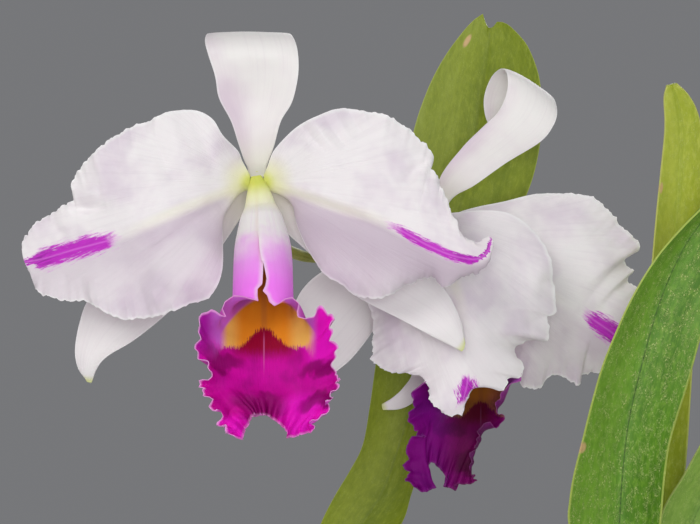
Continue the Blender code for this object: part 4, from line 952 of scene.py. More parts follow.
def pseudobulb_axis(spec, count):
    """Points of a pseudobulb's curved axis, from its foot to its apex."""
    foot = Vector((spec["foot"][0] * MM, spec["foot"][1] * MM, FOOT_HEIGHT))
    apex = Vector(from_photo(spec["apex"]))
    bend = foot.lerp(apex, 0.45) + Vector((-(apex.x - foot.x) * 0.12, -(apex.y - foot.y) * 0.12, 0.004))
    return smooth_line([foot, bend, apex], np.linspace(0, 1, count))


def pseudobulb_rings(spec, sides, count, grow=0.0, fine=0.0):
    """Rings of a club-shaped, furrowed pseudobulb; fine adds the joints and wrinkles of old ones."""
    axis = pseudobulb_axis(spec, count)
    t = np.linspace(0, 1, count)
    girth = np.interp(t, BULB_PLACES, BULB_GIRTHS)
    if fine:
        girth = np.convolve(np.pad(girth, 4, mode="edge"), np.ones(9) / 9, mode="valid")
    turn = full_turn(sides)
    furrow = 1 + 0.05 * np.cos(turn * BULB_FURROWS)[None, :] * np.sin(math.pi * t)[:, None]
    wrinkle = fine * 0.02 * np.cos(turn * BULB_WRINKLES + 1.7)[None, :] * np.sin(math.pi * t)[:, None]
    furrow = furrow + wrinkle
    joint = sum(np.exp(-((t - place) / 0.008) ** 2) for place in BULB_JOINTS)
    radius = spec["girth"] * MM * girth[:, None] * (furrow + fine * 0.035 * joint[:, None]) + grow
    flat = np.stack([np.cos(turn), BULB_FLATNESS * np.sin(turn), np.zeros_like(turn)], axis=-1)
    return axis[:, None, :] + radius[..., None] * flat[None, :, :]


def make_pseudobulbs(finish, papery):
    for number, (name, spec) in enumerate(PSEUDOBULBS.items()):
        mesh = ring_mesh(name, pseudobulb_rings(spec, 84, 90, 0.0, 1.0))
        show(name + "_pseudobulb_stem", mesh, finish, "pseudobulb_green", name + "_pseudobulb")
        make_bract(name, spec, papery, number)


def make_bract(name, spec, finish, number):
    """Papery bract around the lower third of a pseudobulb, open down one side, with a torn top edge."""
    rings = pseudobulb_rings(spec, BRACT_SIDES, BRACT_RINGS, BRACT_STAND_OFF)
    wrap = rings[BRACT_ROWS, :BRACT_SIDES - BRACT_OPENING]
    share = np.linspace(0, 1, wrap.shape[0])[:, None]
    turn = np.linspace(0, 2 * math.pi, wrap.shape[1])[None, :]
    centre = wrap.mean(axis=1, keepdims=True)
    torn = (2.2 * np.sin(turn * 3 + number) + 1.1 * np.sin(turn * 11 + 2 * number)
            + 0.6 * np.sin(turn * 29)) * MM * ease(share, 0.55, 1)
    flare = share ** 2 * BRACT_FLARE * (1 + 0.35 * np.sin(turn * 5 + number))
    crumple = 0.00022 * np.sin(turn * 23 + 3 * np.sin(share * 9)) * share
    points = wrap + unit(wrap - centre) * (flare + crumple)[..., None]
    points[..., 2] += torn - 0.0022 * share
    mesh = thin_mesh(name, points, BRACT_THICKNESS, surface_maps(points))
    show(name + "_bract_paper", mesh, finish, "bract_papery", name + "_bract")


def make_stalk(finish):
    """Peduncle with its two pedicels, each thicker and ribbed where it is the flower's ovary."""
    share = np.linspace(0, 1, 120)
    swell = 0.12 * np.exp(-((share - 0.55) / 0.012) ** 2)
    main = tube("stalk", photo_line(STALK_ROUTE, share),
                np.interp(share, [0, 1], [STALK_RADIUS * 1.1, STALK_RADIUS]) * (1 + swell), 24, 3, 0.02)
    parts = [main]
    for route in (PEDICEL_A_ROUTE, PEDICEL_B_ROUTE):
        radii = np.interp(share, [0, 0.1, 0.5, 0.8, 1], [0.98, 0.8, 0.77, 0.92, 0.80]) * STALK_RADIUS
        parts.append(tube("pedicel", photo_line(route, share), radii, 24, 3, 0.06))
    show("flower_stalk_stem", merge("flower_stalk_stem", parts), finish, "stalk_olive", "flower_stalk")


def make_sheath(finish):
    """Flattened flower sheath around the foot of the stalk, open down one side."""
    share = np.linspace(0.03, 0.42, 60)
    axis = photo_line(STALK_ROUTE, share)
    turn = np.linspace(0.35, 2 * math.pi - 0.35, 64)
    width = np.interp(share, [0.03, 0.15, 0.42], [0.0052, 0.0062, 0.0055])
    ring = np.stack([np.cos(turn), 0.8 * np.sin(turn), 0.3 * np.cos(turn)], axis=-1)
    points = axis[:, None, :] + width[:, None, None] * ring[None]
    up = ease(share, 0.25, 0.42)[:, None]
    points[..., 2] -= 0.004 * up * (0.5 - 0.5 * np.cos(turn))[None, :]
    mesh = thin_mesh("flower_sheath", points, BRACT_THICKNESS, surface_maps(points))
    show("flower_sheath_paper", mesh, finish, "sheath_straw", "flower_sheath")


def ball(centre, radii, segments=32, rings=20):
    """Smooth ellipsoid with the given radii along X, Y and Z."""
    turn = full_turn(segments)
    tilt = np.linspace(-math.pi / 2 + 0.05, math.pi / 2 - 0.05, rings)
    spots = np.stack([np.cos(tilt)[:, None] * np.cos(turn)[None] * radii[0],
                      np.cos(tilt)[:, None] * np.sin(turn)[None] * radii[1],
                      np.repeat(np.sin(tilt)[:, None], segments, axis=1) * radii[2]], axis=-1)
    return ring_mesh("ball", spots + np.array(centre))


def make_column(name, hub, floor, scale, finish):
    """Receptacle with the column that runs into the lip, and the anther cap at its end."""
    centre = np.array(from_photo(hub))
    station = np.array([0.10, 0.17, 0.25])
    here, _, up = lip_section(floor, station)
    places, radii, _ = zip(*LIP_STATIONS)
    middle = here + up * (np.interp(station, places, radii) * scale)[:, None]
    spots = np.vstack([[0, 0.5, 0], [0.6, -2.2 * scale, -5.0], middle]) * MM + centre
    share = np.linspace(0, 1, 50)
    width = np.interp(share, np.linspace(0, 1, 7), [3.2, 3.0, 2.8, 2.8, 3.0, 3.1, 3.1]) * scale * MM
    line = smooth_line(spots, share)
    parts = [ball(centre + np.array([0, 0.5 * MM, 0.4 * MM]), np.array([4.1, 3.4, 4.3]) * scale * MM),
             tube("column", line, width, 28, 3, 0.07),
             ball(line[-1], (3.4 * scale * MM, 3.0 * scale * MM, 2.6 * scale * MM)),
             ball(line[-1] + np.array([0, -1.2, -1.9]) * scale * MM,
                  np.array([2.2, 1.7, 1.5]) * scale * MM)]
    show(name + "_flesh", merge(name, parts), finish, "column_yellow", name)


def tint(red, green, blue):
    """Linear colour of a screen colour with 0 to 255 a channel."""
    return tuple((c / 255 + 0.055) ** 2.4 / 1.055 ** 2.4 if c > 10 else c / 255 / 12.92
                 for c in (red, green, blue))


class Graph:
    """Short calls that build the nodes of one material."""

    def __init__(self, name, roughness, **constants):
        self.material = bpy.data.materials.new(name)
        self.material.use_nodes = True
        self.nodes = self.material.node_tree.nodes
        self.links = self.material.node_tree.links
        self.shader = self.nodes["Principled BSDF"]
        self.shader.inputs["Roughness"].default_value = roughness
        for socket, value in constants.items():
            self.feed(self.shader.inputs[socket.replace("_", " ")], value)

    def feed(self, socket, value):
        if isinstance(value, bpy.types.NodeSocket):
            self.links.new(value, socket)
        elif isinstance(value, tuple) and socket.type == "RGBA":
            socket.default_value = (*value, 1)
        else:
            socket.default_value = value

    def math(self, operation, *values):
        made = self.nodes.new("ShaderNodeMath")
        made.operation = operation
        for socket, value in zip(made.inputs, values):
            self.feed(socket, value)
        return made.outputs[0]

    def times(self, first, second):
        return self.math("MULTIPLY", first, second)

    def highest(self, *values):
        if len(values) == 1:
            return values[0]
        half = len(values) // 2
        return self.math("MAXIMUM", self.highest(*values[:half]), self.highest(*values[half:]))

    def mix(self, share, first, second):
        made = self.nodes.new("ShaderNodeMix")
        made.data_type = "RGBA"
        for place, value in ((0, share), (6, first), (7, second)):
            self.feed(made.inputs[place], value)
        return made.outputs[2]

    def layers(self, colour, *layers):
        """Colour with layers over it, each (ink, mask) or (ink, mask, share of the ink)."""
        for ink, mask, *share in layers:
            colour = self.mix(self.times(mask, *share) if share else mask, colour, ink)
        return colour

    def step(self, value, low, high, start=0.0, end=1.0):
        """Smooth change from start to end as the value goes from low to high."""
        made = self.nodes.new("ShaderNodeMapRange")
        made.interpolation_type = "SMOOTHSTEP"
        for place, given in enumerate((value, low, high, start, end)):
            self.feed(made.inputs[place], given)
        return made.outputs[0]

    def place(self, x, y, z=0.0):
        made = self.nodes.new("ShaderNodeCombineXYZ")
        for socket, value in zip(made.inputs, (x, y, z)):
            self.feed(socket, value)
        return made.outputs[0]

    def stretched(self, x, y, x_scale, y_scale, seed=0.0):
        """Place in a pattern that is scaled apart along its two coordinates."""
        return self.place(self.times(x, x_scale), self.times(y, y_scale), seed)

    def noise(self, place, scale=1.0, detail=3.0, roughness=0.5, distortion=0.0):
        made = self.nodes.new("ShaderNodeTexNoise")
        self.feed(made.inputs["Vector"], place)
        for socket, value in (("Scale", scale), ("Detail", detail), ("Roughness", roughness),
                              ("Distortion", distortion)):
            made.inputs[socket].default_value = value
        return made.outputs[0]

    def cells(self, place, scale=1.0, feature="F1"):
        made = self.nodes.new("ShaderNodeTexVoronoi")
        made.feature = feature
        self.feed(made.inputs["Vector"], place)
        made.inputs["Scale"].default_value = scale
        return made.outputs["Distance"]

    def pair(self, title):
        """The two coordinates of a named UV map."""
        made = self.nodes.new("ShaderNodeUVMap")
        made.uv_map = title
        split = self.nodes.new("ShaderNodeSeparateXYZ")
        self.links.new(made.outputs[0], split.inputs[0])
        return split.outputs[0], split.outputs[1]

    def body(self):
        """Place on the object, in metres."""
        return self.nodes.new("ShaderNodeTexCoord").outputs["Object"]

    def height(self):
        split = self.nodes.new("ShaderNodeSeparateXYZ")
        self.links.new(self.body(), split.inputs[0])
        return split.outputs[2]

    def margin(self, v):
        """0 on the midrib of a blade to 1 on its margins."""
        return self.math("ABSOLUTE", self.math("MULTIPLY_ADD", v, 2.0, -1.0))

    def patch(self, x, y, middle_x, middle_y, half_x, half_y):
        """Soft-edged oval patch around a place: 1 inside, 0 outside."""
        across = self.math("DIVIDE", self.math("SUBTRACT", x, middle_x), half_x)
        up = self.math("DIVIDE", self.math("SUBTRACT", y, middle_y), half_y)
        squares = self.math("MULTIPLY_ADD", across, across, self.times(up, up))
        return self.step(squares, 0.15, 1.0, 1.0, 0.0)

    def patches(self, x, y, *ovals):
        return self.highest(*(self.patch(x, y, *oval) for oval in ovals))

    def blend(self, *terms):
        """Weighted sum of (value, weight) terms."""
        total = None
        for value, weight in terms:
            part = self.times(value, weight)
            total = part if total is None else self.math("ADD", total, part)
        return total

    def finish(self, colour, roughness=None, relief=None, depth=0.0002):
        """The material, with a relief of the given depth in metres."""
        self.feed(self.shader.inputs["Base Color"], colour)
        if roughness is not None:
            self.feed(self.shader.inputs["Roughness"], roughness)
        if relief is not None:
            bump = self.nodes.new("ShaderNodeBump")
            bump.inputs["Distance"].default_value = depth
            bump.inputs["Strength"].default_value = 1.0
            self.feed(bump.inputs["Height"], relief)
            self.links.new(bump.outputs[0], self.shader.inputs["Normal"])
        return self.material


def living(name, roughness, scatter, reach):
    """Graph of a living tissue: light spreads a little way into it."""
    return Graph(name, roughness, Subsurface_Weight=scatter, Subsurface_Scale=reach,
                 Subsurface_Radius=(1.0, 0.8, 0.9), Specular_IOR_Level=0.35)


PETAL_WHITE = tint(250, 244, 246)
PETAL_LILAC = tint(230, 218, 229)
# Grey-lilac of the veins, also used as painted shade below a petal's midrib
PETAL_VEIN_AND_PAINTED_SHADE = tint(206, 192, 205)
PETAL_RIM = tint(255, 253, 254)
CLAW_CREAM = tint(244, 242, 190)
MIDRIB_CREAM = tint(248, 244, 226)
NECK_GREEN = tint(226, 232, 104)
FLAME = tint(206, 44, 208)
FLAME_DEEP = tint(150, 22, 158)
FLAME_PALE = tint(232, 130, 234)


def petal_finish(name, seed, flame, painted_shade):
    """White tissue with lilac clouds, fanned veins, a cream midrib and a flame, with painted shade below the
    midrib; the last argument is the strength of that painted shade."""
    g = living(name, 0.5, 0.18, 0.0015)
    along, across = g.pair("rib")
    turn, reach = g.pair("fan")
    edge = g.margin(g.pair("blade")[1])
    veins = g.noise(g.stretched(turn, reach, 34, 3.5, seed), 1.0, 5.0, 0.6)
    fine = g.noise(g.stretched(turn, reach, 90, 9, seed + 5), 1.0, 3.0, 0.6)
    cloud = g.noise(g.place(along, across, seed), 5.0, 3.0)
    # Painted shade on the side below the midrib: strongest next to it, fading towards the margin
    below = g.times(g.step(across, 0.0, 0.035), g.step(across, 0.06, 0.36, painted_shade, painted_shade * 0.35))
    ridge = g.times(g.step(g.math("ABSOLUTE", across), 0.0, 0.035, 0.7, 0.0),
                    g.step(along, 0.30, 0.60, 1.0, 0.0))
    colour = g.layers(
        PETAL_WHITE,
        (PETAL_LILAC, g.step(cloud, 0.42, 0.70)),
        (PETAL_VEIN_AND_PAINTED_SHADE, g.step(veins, 0.45, 0.75), 0.14),
        # Painted shade below the midrib, none at the claw
        (PETAL_VEIN_AND_PAINTED_SHADE, below, g.step(along, 0.02, 0.14)),
        (MIDRIB_CREAM, ridge),
        (PETAL_RIM, g.step(edge, 0.95, 1.0, 0.0, 0.75)),
        (CLAW_CREAM, g.step(reach, 0.02, 0.13, 0.9, 0.0)),
        (NECK_GREEN, g.step(reach, 0.01, 0.05, 0.9, 0.0)),
        flame_layer(g, seed, flame, (along, across), (turn, reach)))
    relief = g.blend((veins, 0.5), (fine, 0.35), (cloud, 0.4))
    return g.finish(colour, g.step(veins, 0.3, 0.8, 0.46, 0.6), relief, 0.00035)


def flame_layer(g, seed, flame, rib, fan):
    """Ink and mask of a petal's feathered flame; flame is (start, full, tail, end, half width, offset)
    along and across the midrib in millimetres."""
    along, across = rib
    start, full, tail, end, half, offset = (value / MM_PER_DECIMETRE for value in flame)
    feather = g.noise(g.stretched(across, along, 70, 14, seed + 9), 1.0, 5.0, 0.75)
    tuft = g.noise(g.stretched(*fan, 120, 14, seed + 3), 1.0, 3.0, 0.7)
    off = g.math("ABSOLUTE", g.math("SUBTRACT", across, offset))
    rough = g.blend((g.math("SUBTRACT", feather, 0.5), half * 1.7),
                    (g.math("SUBTRACT", tuft, 0.5), half * 1.7))
    width = g.times(g.step(along, tail, tail + 0.05, half, half * 0.4),
                    g.step(along, start, full + 0.06, 0.55, 1.0))
    gap = g.math("DIVIDE", g.math("SUBTRACT", off, rough), width)
    begin = g.math("ADD", along, g.times(g.math("SUBTRACT", feather, 0.5), 0.12))
    present = g.times(g.step(begin, start, full), g.step(along, end, end + 0.03, 1.0, 0.0))
    stain = g.times(g.step(gap, 0.55, 1.25, 1.0, 0.0), present)
    ink = g.layers(
        FLAME_DEEP,
        (FLAME, g.step(tuft, 0.35, 0.65)),
        (FLAME, g.step(along, tail - 0.08, tail + 0.02, 0.75, 0.0)),
        (FLAME_PALE, g.step(stain, 0.2, 0.85, 1.0, 0.0)),
        (FLAME_PALE, g.step(off, 0.0, 0.006, 0.5, 0.0)))
    return ink, stain


def sepal_finish(name, base, shade, tip, tip_start, throat):
    """Smooth sepal tissue with painted shade on its left half and towards its base, broken by clouds, long
    veins, pale margins, and a tinted tip and throat.
    """
    g = living(name, 0.45, 0.15, 0.0015)
    along, across = g.pair("rib")
    u, v = g.pair("blade")
    veins = g.noise(g.stretched(v, u, 26, 2.2, 3.0), 1.0, 4.0, 0.6)
    cloud = g.noise(g.place(along, across, 7.0), 6.0, 2.0)
    # Painted shade: strongest on the left half and towards the base, broken by clouds
    painted_sepal_shade = g.blend((g.step(v, 0.0, 0.6, 1.0, 0.0), 0.35), (g.step(u, 0.15, 0.75, 1.0, 0.0), 0.3),
                   (cloud, 0.7))
    colour = g.layers(
        base,
        (shade, g.step(painted_sepal_shade, 0.45, 1.05)),
        (PETAL_VEIN_AND_PAINTED_SHADE, g.step(veins, 0.45, 0.8), 0.16),
        (PETAL_RIM, g.step(g.margin(v), 0.94, 1.0, 0.0, 0.5)),
        (tip, g.step(u, tip_start, 1.0, 0.0, 0.9)),
        (throat, g.step(u, 0.0, 0.28, 0.75, 0.0)))
    relief = g.blend((veins, 0.6), (cloud, 0.4))
    return g.finish(colour, g.step(veins, 0.3, 0.8, 0.42, 0.55), relief, 0.0002)


LEAF_FLECK = tint(204, 214, 140)
LEAF_SCAR = tint(214, 176, 128)


def leaf_finish(name, colours, seed, worn, rib_share, scar):
    """Leathery leaf with long fibres, a sunken midrib, a paler margin, mottles, pale flecks, a tan scar at a
    place (u, v) and painted light on the half towards its left margin; colours are the base, deep, light,
    margin and midrib, worn is the strength of the flecks, and rib_share that of the midrib."""
    base, deep, light, margin, rib = (tint(*colour) for colour in colours)
    g = Graph(name, 0.45, Specular_IOR_Level=0.28, Subsurface_Weight=0.04, Subsurface_Scale=0.002,
              Subsurface_Radius=(0.5, 1.0, 0.2))
    u, v = g.pair("blade")
    along, across = g.pair("rib")
    edge = g.margin(v)
    fibres = g.noise(g.stretched(v, u, 120, 4.0, seed), 1.0, 3.0, 0.6)
    broad = g.noise(g.stretched(across, along, 14, 3.0, seed + 2), 1.0, 3.0, 0.55)
    grain = g.noise(g.body(), 900.0, 2.0, 0.6)
    mottle = g.noise(g.stretched(across, along, 60, 26, seed + 6), 1.0, 4.0, 0.65)
    flecks = leaf_flecks(g, along, across, seed, worn)
    broken = g.step(g.noise(g.stretched(across, along, 20, 60, seed)), 0.35, 0.6, rib_share * 0.35, rib_share)
    colour = g.layers(
        base,
        (deep, g.step(broad, 0.3, 0.7)),
        # Painted light: the half towards the left margin is lighter, as if lit from that side
        (light, g.step(v, 0.52, 0.30, 0.0, 0.40)),
        (light, g.step(mottle, 0.45, 0.70), 0.55),
        (deep, g.step(mottle, 0.48, 0.28), 0.45),
        (light, g.step(fibres, 0.42, 0.75), 0.2),
        (LEAF_FLECK, flecks, 0.9),
        (margin, g.step(edge, 0.975, 1.0, 0.0, 0.7)),
        (rib, g.step(edge, 0.0, 0.035, 1.0, 0.0), broken),
        (LEAF_SCAR, g.patch(u, v, *scar, 0.014, 0.045), 0.9))
    relief = g.blend((fibres, 0.4), (grain, 0.25), (mottle, 0.5), (flecks, 0.2))
    return g.finish(colour, g.step(broad, 0.3, 0.7, 0.36, 0.5), relief, 0.00022)


def leaf_flecks(g, along, across, seed, worn):
    """Pale curled scratches and dots that gather in places."""
    wander = g.noise(g.stretched(across, along, 130, 70, seed + 8), 1.0, 2.0, 0.6, 1.6)
    curl = g.step(g.math("ABSOLUTE", g.math("SUBTRACT", wander, 0.5)), 0.004, 0.026, 1.0, 0.0)
    dots = g.step(g.cells(g.stretched(across, along, 120, 80, seed), 1.0), 0.14, 0.28, 1.0, 0.0)
    sparse = g.step(g.noise(g.stretched(across, along, 42, 24, seed + 4)), 0.42, 0.58)
    return g.times(g.highest(curl, dots), g.times(sparse, worn))


LIP_MAGENTA = tint(196, 0, 146)
LIP_BRIGHT = tint(238, 18, 200)
LIP_DARK = tint(124, 0, 88)
LIP_CRIMSON = tint(150, 0, 50)
LIP_THREAD = tint(226, 120, 190)
LIP_FRINGE = tint(248, 170, 236)
LIP_NECK_CREAM = tint(250, 250, 196)
LIP_CREAM = tint(252, 246, 246)
LIP_PINK = tint(246, 160, 248)
LIP_ROSE = tint(255, 132, 255)
LIP_STREAK = tint(232, 150, 240)
LIP_MAUVE = tint(206, 104, 214)
LIP_PURPLE = tint(170, 22, 160)
# Painted shadow of the far lip, from its left to its right
LIP_PAINTED_SHADE_LEFT = tint(96, 0, 112)
LIP_PAINTED_SHADE_MIDDLE = tint(40, 0, 22)
LIP_PAINTED_SHADE_RIGHT = tint(80, 0, 80)
THROAT_ORANGE = tint(236, 146, 34)
THROAT_GOLD = tint(240, 186, 92)
THROAT_LINE = tint(214, 128, 52)

# Soft ovals on the front lobe (x, y, half width, half height), right of and above the throat's centre, in
# hundreds of the photograph's pixels: painted highlights where the lobe's waves catch the light, and
# painted shade in its folds
LIP_PAINTED_HIGHLIGHTS = ((0.56, 0.12, 0.24, 0.42), (-0.60, -0.02, 0.14, 0.22), (-0.30, -0.86, 0.34, 0.20),
                    (0.42, -0.72, 0.34, 0.30))
LIP_PAINTED_FOLD_SHADE = ((-0.44, -0.24, 0.32, 0.13), (0.58, -0.36, 0.28, 0.11), (-0.06, -0.66, 0.34, 0.20),
             (0.56, -0.66, 0.26, 0.10))


def lip_finish(name, painted_shade):
    """Velvety lip: pale tube outside, orange eyes over a crimson wedge, magenta lobe; the last argument
    darkens it all with painted shade and dims its pale fringe.
    """
    g = Graph(name, 0.6, Subsurface_Weight=0.08, Subsurface_Scale=0.001,
              Subsurface_Radius=(1.0, 0.3, 0.8), Specular_IOR_Level=0.12)
    inside = g.pair("skin")[0]
    station, v = g.pair("blade")
    front = g.pair("front")
    edge = g.margin(v)
    streak = g.noise(g.stretched(v, station, 60, 3.0, 2.0), 1.0, 4.0, 0.65)
    cloud = g.noise(g.place(*g.pair("rib"), 4.0), 11.0, 3.0)
    fringe = g.times(g.step(edge, 0.972, 0.998, 0.0, 0.9 - painted_shade), g.step(station, 0.42, 0.50))
    colour = g.layers(
        lip_outer(g, station, edge, streak, cloud),
        (lip_inner(g, front, cloud), inside),
        (LIP_FRINGE, fringe),
        (LIP_FRINGE, g.step(station, 0.988, 0.999, 0.0, 0.5 - painted_shade * 0.5)))
    # Painted shadow over the whole lip, stronger below the throat: purple at the far left, near black in the
    # middle, dark purple at the right
    if painted_shade:
        x, y = front
        shade = g.layers(
            LIP_PAINTED_SHADE_LEFT, (LIP_PAINTED_SHADE_MIDDLE, g.step(x, -0.70, -0.20)),
            (LIP_PAINTED_SHADE_RIGHT, g.step(x, 0.00, 0.25)))
        colour = g.layers(colour, (shade, g.step(y, 0.10, 0.35, painted_shade + 0.25, painted_shade)))
    return g.finish(colour, None, g.blend((streak, 0.6), (cloud, 0.3)), 0.0003)


def lip_outer(g, station, edge, streak, cloud):
    """Outer skin: yellow-green neck, cream tube that turns pink, and magenta back of the front lobe."""
    tube_ink = g.layers(
        NECK_GREEN,
        (LIP_NECK_CREAM, g.step(station, -0.05, 0.02)),
        (LIP_CREAM, g.step(station, -0.01, 0.12)),
        (LIP_PINK, g.step(g.blend((station, 1.0), (cloud, 0.16)), 0.24, 0.44)),
        (LIP_ROSE, g.step(g.blend((station, 1.0), (cloud, 0.10)), 0.36, 0.52)),
        (LIP_STREAK, g.step(streak, 0.5, 0.8), 0.18),
        (LIP_CREAM, g.step(edge, 0.94, 1.0, 0.0, 0.6), g.step(station, 0.04, 0.12)))
    return g.mix(g.step(station, 0.50, 0.62), tube_ink, g.mix(cloud, LIP_MAGENTA, LIP_MAUVE))


def lip_inner(g, front, cloud):
    """Inner skin: the lobe's field below, and the throat above a ragged line."""
    x, y = front
    side = g.math("ABSOLUTE", x)
    hairs = g.noise(g.stretched(x, y, 110, 9, 2.0), 1.0, 3.0, 0.7)
    ragged = g.times(g.math("SUBTRACT", hairs, 0.5), 0.22)
    low = g.math("ADD", g.step(side, 0.0, 0.27, 0.17, -0.02), ragged)
    soft = g.step(side, 0.40, 0.50, 0.014, 0.16)
    return g.mix(g.step(g.math("SUBTRACT", y, low), g.times(soft, -1.0), soft),
                 lip_field(g, x, y, side, cloud, hairs), lip_throat(g, x, y, side))


def lip_field(g, x, y, side, cloud, hairs):
    """Magenta field with brighter parts as painted highlights, dark folds as painted shade, a crimson wedge
    and a pale thread.
    """
    warp = g.math("MULTIPLY_ADD", cloud, 0.5, -0.25)
    tilted = g.math("ADD", y, g.math("MULTIPLY_ADD", side, -0.22, warp))
    wedge = g.times(g.step(g.blend((y, 1.0), (hairs, 0.12)), -0.14, 0.05), g.step(side, 0.20, 0.40, 1.0, 0.0))
    thread = g.times(g.step(side, 0.002, 0.012, 1.0, 0.0), g.step(y, -0.34, -0.04, 0.0, 0.45))
    return g.layers(
        LIP_MAGENTA,
        (LIP_DARK, g.step(cloud, 0.40, 0.75, 0.0, 0.7)),
        # Painted highlights on the lobe's waves
        (LIP_BRIGHT, g.patches(x, y, *LIP_PAINTED_HIGHLIGHTS), 0.85),
        (LIP_BRIGHT, g.step(y, -0.62, -0.30, 0.0, 0.25)),
        # Painted shade in the lobe's folds
        (LIP_DARK, g.patches(x, tilted, *LIP_PAINTED_FOLD_SHADE), 0.75),
        (LIP_CRIMSON, wedge),
        (LIP_THREAD, thread, g.step(y, 0.02, 0.16, 1.0, 0.0)))


def lip_throat(g, x, y, side):
    """Orange eyes and their gold outer parts under an arch, with mauve and purple side lobes around them."""
    gold = g.layers(
        THROAT_ORANGE,
        (THROAT_GOLD, g.step(side, 0.20, 0.36)),
        (THROAT_LINE, g.step(side, 0.01, 0.05, 0.7, 0.0)))
    left_ear = g.mix(g.step(side, 0.44, 0.60), LIP_MAUVE, LIP_PURPLE)
    right_ear = g.mix(g.step(side, 0.46, 0.56), LIP_MAUVE, LIP_BRIGHT)
    ears = g.mix(g.step(x, 0.30, 0.50), left_ear, right_ear)
    bend = g.math("SUBTRACT", x, 0.04)
    arch = g.math("MULTIPLY_ADD", g.times(bend, bend), -1.55, 0.45)
    slit = g.step(side, 0.05, 0.10, 1.0, 0.0)
    above = g.times(g.step(g.math("SUBTRACT", y, arch), 0.0, 0.05), g.step(slit, 0.0, 1.0, 1.0, 0.0))
    return g.layers(gold, (ears, g.step(g.math("ABSOLUTE", bend), 0.40, 0.50)), (ears, above))


def stem_finish(name, base, deep, light, roughness):
    """Stems, bulbs and rhizome: long fibres, mottling and small pits."""
    g = Graph(name, roughness, Specular_IOR_Level=0.4, Subsurface_Weight=0.05, Subsurface_Scale=0.002)
    spot = g.body()
    fibres = g.noise(g.stretched(*g.pair("stem"), 30.0, 6.0), 1.0, 4.0, 0.6)
    mottle = g.noise(spot, 120.0, 4.0, 0.6)
    specks = g.step(g.cells(spot, 420.0), 0.12, 0.25, 1.0, 0.0)
    colour = g.layers(
        tint(*base),
        (tint(*deep), g.step(mottle, 0.35, 0.7)),
        (tint(*light), g.step(fibres, 0.4, 0.75), 0.55),
        (tint(*deep), specks, 0.35))
    relief = g.blend((fibres, 0.6), (mottle, 0.4), (specks, -0.2))
    return g.finish(colour, g.step(mottle, 0.3, 0.7, roughness - 0.08, roughness + 0.12), relief, 0.0004)


def papery_finish(name, base, deep, light):
    """Dry papery husk with long fibres, stains and a paler edge."""
    g = Graph(name, 0.75, Specular_IOR_Level=0.3, Subsurface_Weight=0.08, Subsurface_Scale=0.001)
    u, v = g.pair("blade")
    fibres = g.noise(g.stretched(v, u, 70, 3.0), 1.0, 4.0, 0.65)
    stains = g.noise(g.body(), 110.0, 3.0, 0.6)
    colour = g.layers(
        tint(*base),
        (tint(*light), g.step(fibres, 0.3, 0.7)),
        (tint(*deep), g.step(stains, 0.5, 0.72), 0.8),
        (tint(*light), g.step(u, 0.86, 1.0, 0.0, 0.6)))
    relief = g.blend((fibres, 0.8), (stains, 0.3))
    return g.finish(colour, g.step(stains, 0.3, 0.7, 0.65, 0.85), relief, 0.0005)


def bark_finish(name):
    """Fir bark chips: red-brown corky layers, each chip of its own shade, with dusty pale faces."""
    g = Graph(name, 0.9, Specular_IOR_Level=0.25)
    shade, kind = g.pair("chip")
    spot = g.body()
    layers = g.noise(spot, 260.0, 5.0, 0.7)
    grain = g.noise(spot, 1100.0, 4.0, 0.7)
    cracks = g.step(g.cells(spot, 330.0, "DISTANCE_TO_EDGE"), 0.0, 0.09, 1.0, 0.0)
    colour = g.layers(
        tint(74, 42, 26),
        (tint(132, 82, 52), shade),
        (tint(96, 74, 62), g.step(kind, 0.62, 0.9)),
        (tint(168, 116, 78), g.step(layers, 0.4, 0.72)),
        (tint(46, 26, 18), g.step(grain, 0.5, 0.8), 0.6),
        (tint(30, 17, 12), cracks, 0.7))
    relief = g.blend((layers, 0.6), (grain, 0.4), (cracks, -0.5))
    return g.finish(colour, g.step(layers, 0.3, 0.7, 0.8, 0.96), relief, 0.0009)


def clay_finish(name):
    """Unglazed terracotta with throwing marks, lime bloom, darker towards the bottom, and small pits."""
    g = Graph(name, 0.85, Specular_IOR_Level=0.3)
    spot = g.body()
    high = g.height()
    cloud = g.noise(spot, 34.0, 5.0, 0.62)
    grain = g.noise(spot, 900.0, 3.0, 0.7)
    pits = g.step(g.cells(spot, 300.0), 0.06, 0.16, 1.0, 0.0)
    rings = g.noise(g.place(0.0, 0.0, g.times(high, 700.0)), 1.0, 2.0)
    bloom = g.times(g.step(cloud, 0.52, 0.7), g.step(high, 0.015, 0.095, 0.25, 1.0))
    colour = g.layers(
        tint(184, 104, 70),
        (tint(160, 84, 56), g.step(cloud, 0.35, 0.7)),
        (tint(206, 138, 104), g.step(grain, 0.5, 0.85), 0.4),
        (tint(222, 206, 190), bloom, 0.7),
        (tint(116, 66, 48), g.step(high, 0.002, 0.03, 0.5, 0.0)),
        (tint(110, 62, 44), pits, 0.35))
    relief = g.blend((grain, 0.3), (rings, 0.5), (pits, -0.35), (cloud, 0.5))
    return g.finish(colour, g.step(cloud, 0.3, 0.7, 0.78, 0.93), relief, 0.0006)


def column_finish(name):
    """Waxy green-yellow receptacle and column, flushed with pink towards the anther cap."""
    g = living(name, 0.4, 0.15, 0.002)
    along = g.pair("stem")[1]
    mottle = g.noise(g.body(), 260.0, 3.0, 0.6)
    colour = g.layers(
        tint(216, 222, 120),
        (tint(232, 232, 150), g.step(mottle, 0.35, 0.7)),
        (tint(246, 226, 238), g.step(along, 0.10, 0.24)))
    return g.finish(colour, None, mottle, 0.0002)
